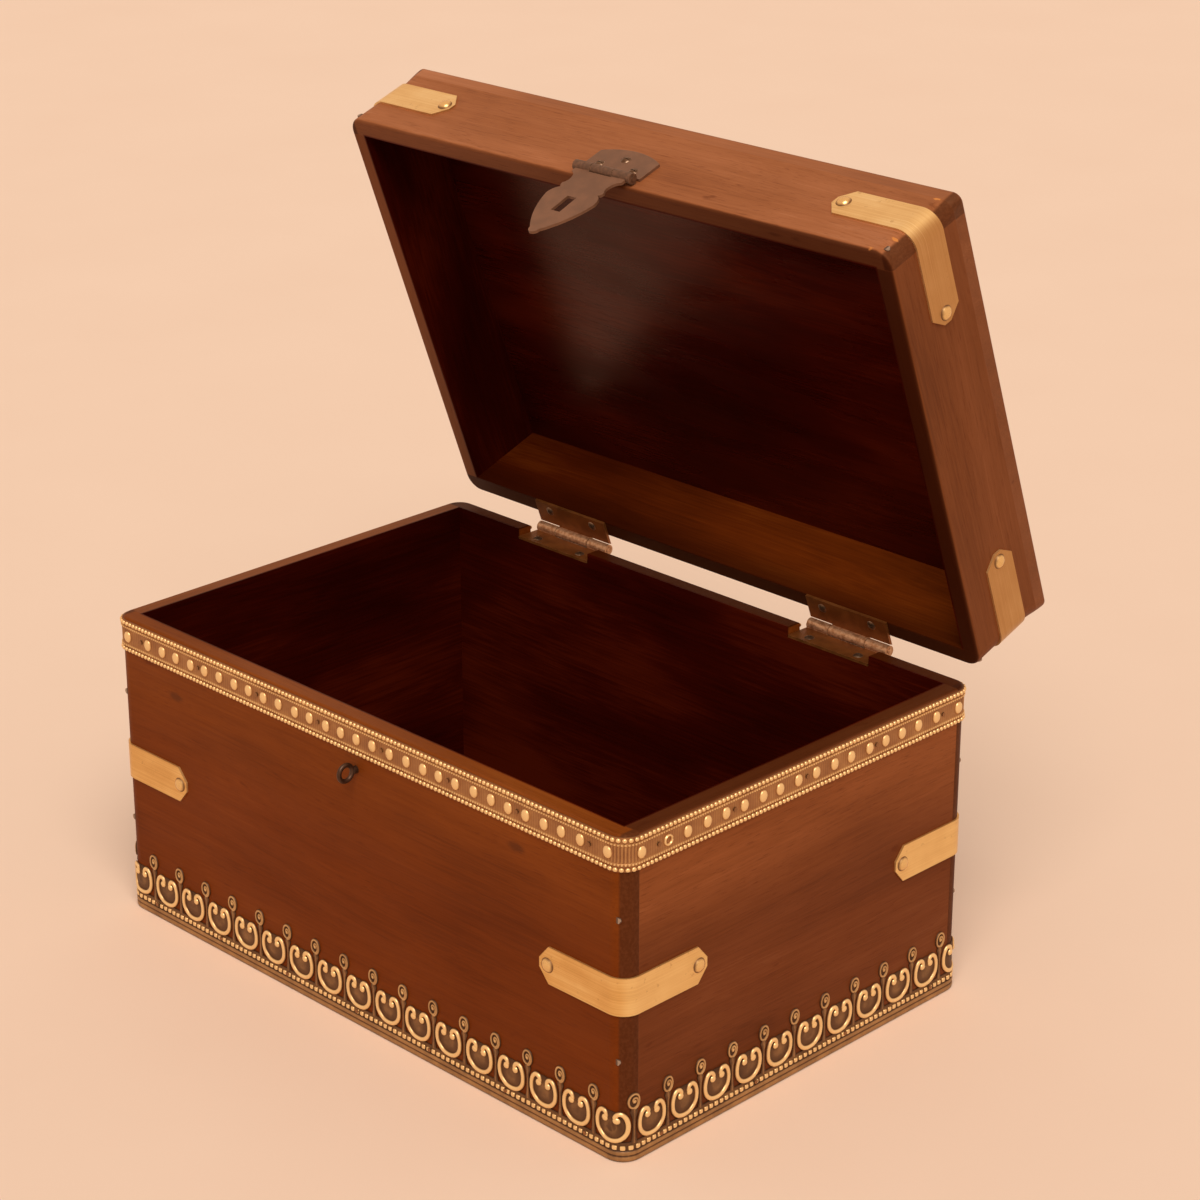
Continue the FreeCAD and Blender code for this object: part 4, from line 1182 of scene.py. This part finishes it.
def plain_ground(name):
    """Pale warm paper for the floor, with only a breath of tone."""
    material, tree, surface = start_material(name)
    cloud = noise(tree, frame_coords(tree), GROUND_SCALE)
    feed(tree, surface, {
        "Base Color": mix(tree, cloud, *GROUND_TONES),
        "Roughness": GROUND_ROUGH,
        "Specular IOR Level": GROUND_SHINE,
    })
    return material


def set_floor():
    mesh = bpy.data.meshes.new("floor")
    corners = [(FLOOR_REACH * x, FLOOR_REACH * y, 0.0) for x, y in ((-1, -1), (1, -1), (1, 1), (-1, 1))]
    mesh.from_pydata(corners, [], [(0, 1, 2, 3)])
    mesh.materials.append(plain_ground("floor_paper"))
    floor = bpy.data.objects.new("floor", mesh)
    floor.location.z = -FLOOR_DROP * MM
    bpy.context.scene.collection.objects.link(floor)


def set_world():
    """Even light all round; the camera and mirroring surfaces see the pale backdrop instead."""
    world = bpy.data.worlds.new("studio")
    bpy.context.scene.world = world
    world.use_nodes = True
    tree = world.node_tree
    tree.nodes.clear()
    light = put(tree, "Background", {"Color": WORLD_COLOUR, "Strength": WORLD_STRENGTH})
    pale = put(tree, "Background", {"Color": BACKDROP_COLOUR, "Strength": BACKDROP_STRENGTH})
    path = put(tree, "LightPath")
    seen = maths(tree, "MAXIMUM", path.outputs["Is Camera Ray"], path.outputs["Is Glossy Ray"])
    seen = maths(tree, "MAXIMUM", seen, path.outputs["Is Transmission Ray"])
    joined = put(tree, "MixShader", {0: seen, 1: light.outputs[0], 2: pale.outputs[0]})
    put(tree, "OutputWorld", {"Surface": joined.outputs[0]})


def set_lamps():
    """A wide soft key from the upper right, in front of the box."""
    sun = bpy.data.lights.new("key", "SUN")
    sun.energy = KEY_STRENGTH
    sun.angle = KEY_SPREAD
    sun.color = KEY_COLOUR
    made = bpy.data.objects.new("key", sun)
    made.rotation_euler = KEY_DIRECTION.to_track_quat("-Z", "Y").to_euler()
    bpy.context.scene.collection.objects.link(made)


def set_camera():
    lens = bpy.data.cameras.new("camera")
    lens.lens = CAMERA_LENS
    lens.sensor_width = CAMERA_SENSOR
    lens.dof.use_dof = False
    lens.clip_start = CAMERA_NEAR
    lens.clip_end = CAMERA_FAR
    camera = bpy.data.objects.new("camera", lens)
    camera.location = CAMERA_PLACE
    camera.rotation_euler = (CAMERA_AIM - CAMERA_PLACE).to_track_quat("-Z", "Y").to_euler()
    bpy.context.scene.collection.objects.link(camera)
    bpy.context.scene.camera = camera


def main():
    bpy.context.scene.view_settings.view_transform = "Standard"
    dress_box_boards()
    dress_lid_boards()
    dress_straps()
    dress_nails()
    dress_ironwork()
    dress_trim()
    set_floor()
    set_world()
    set_lamps()
    set_camera()


main()
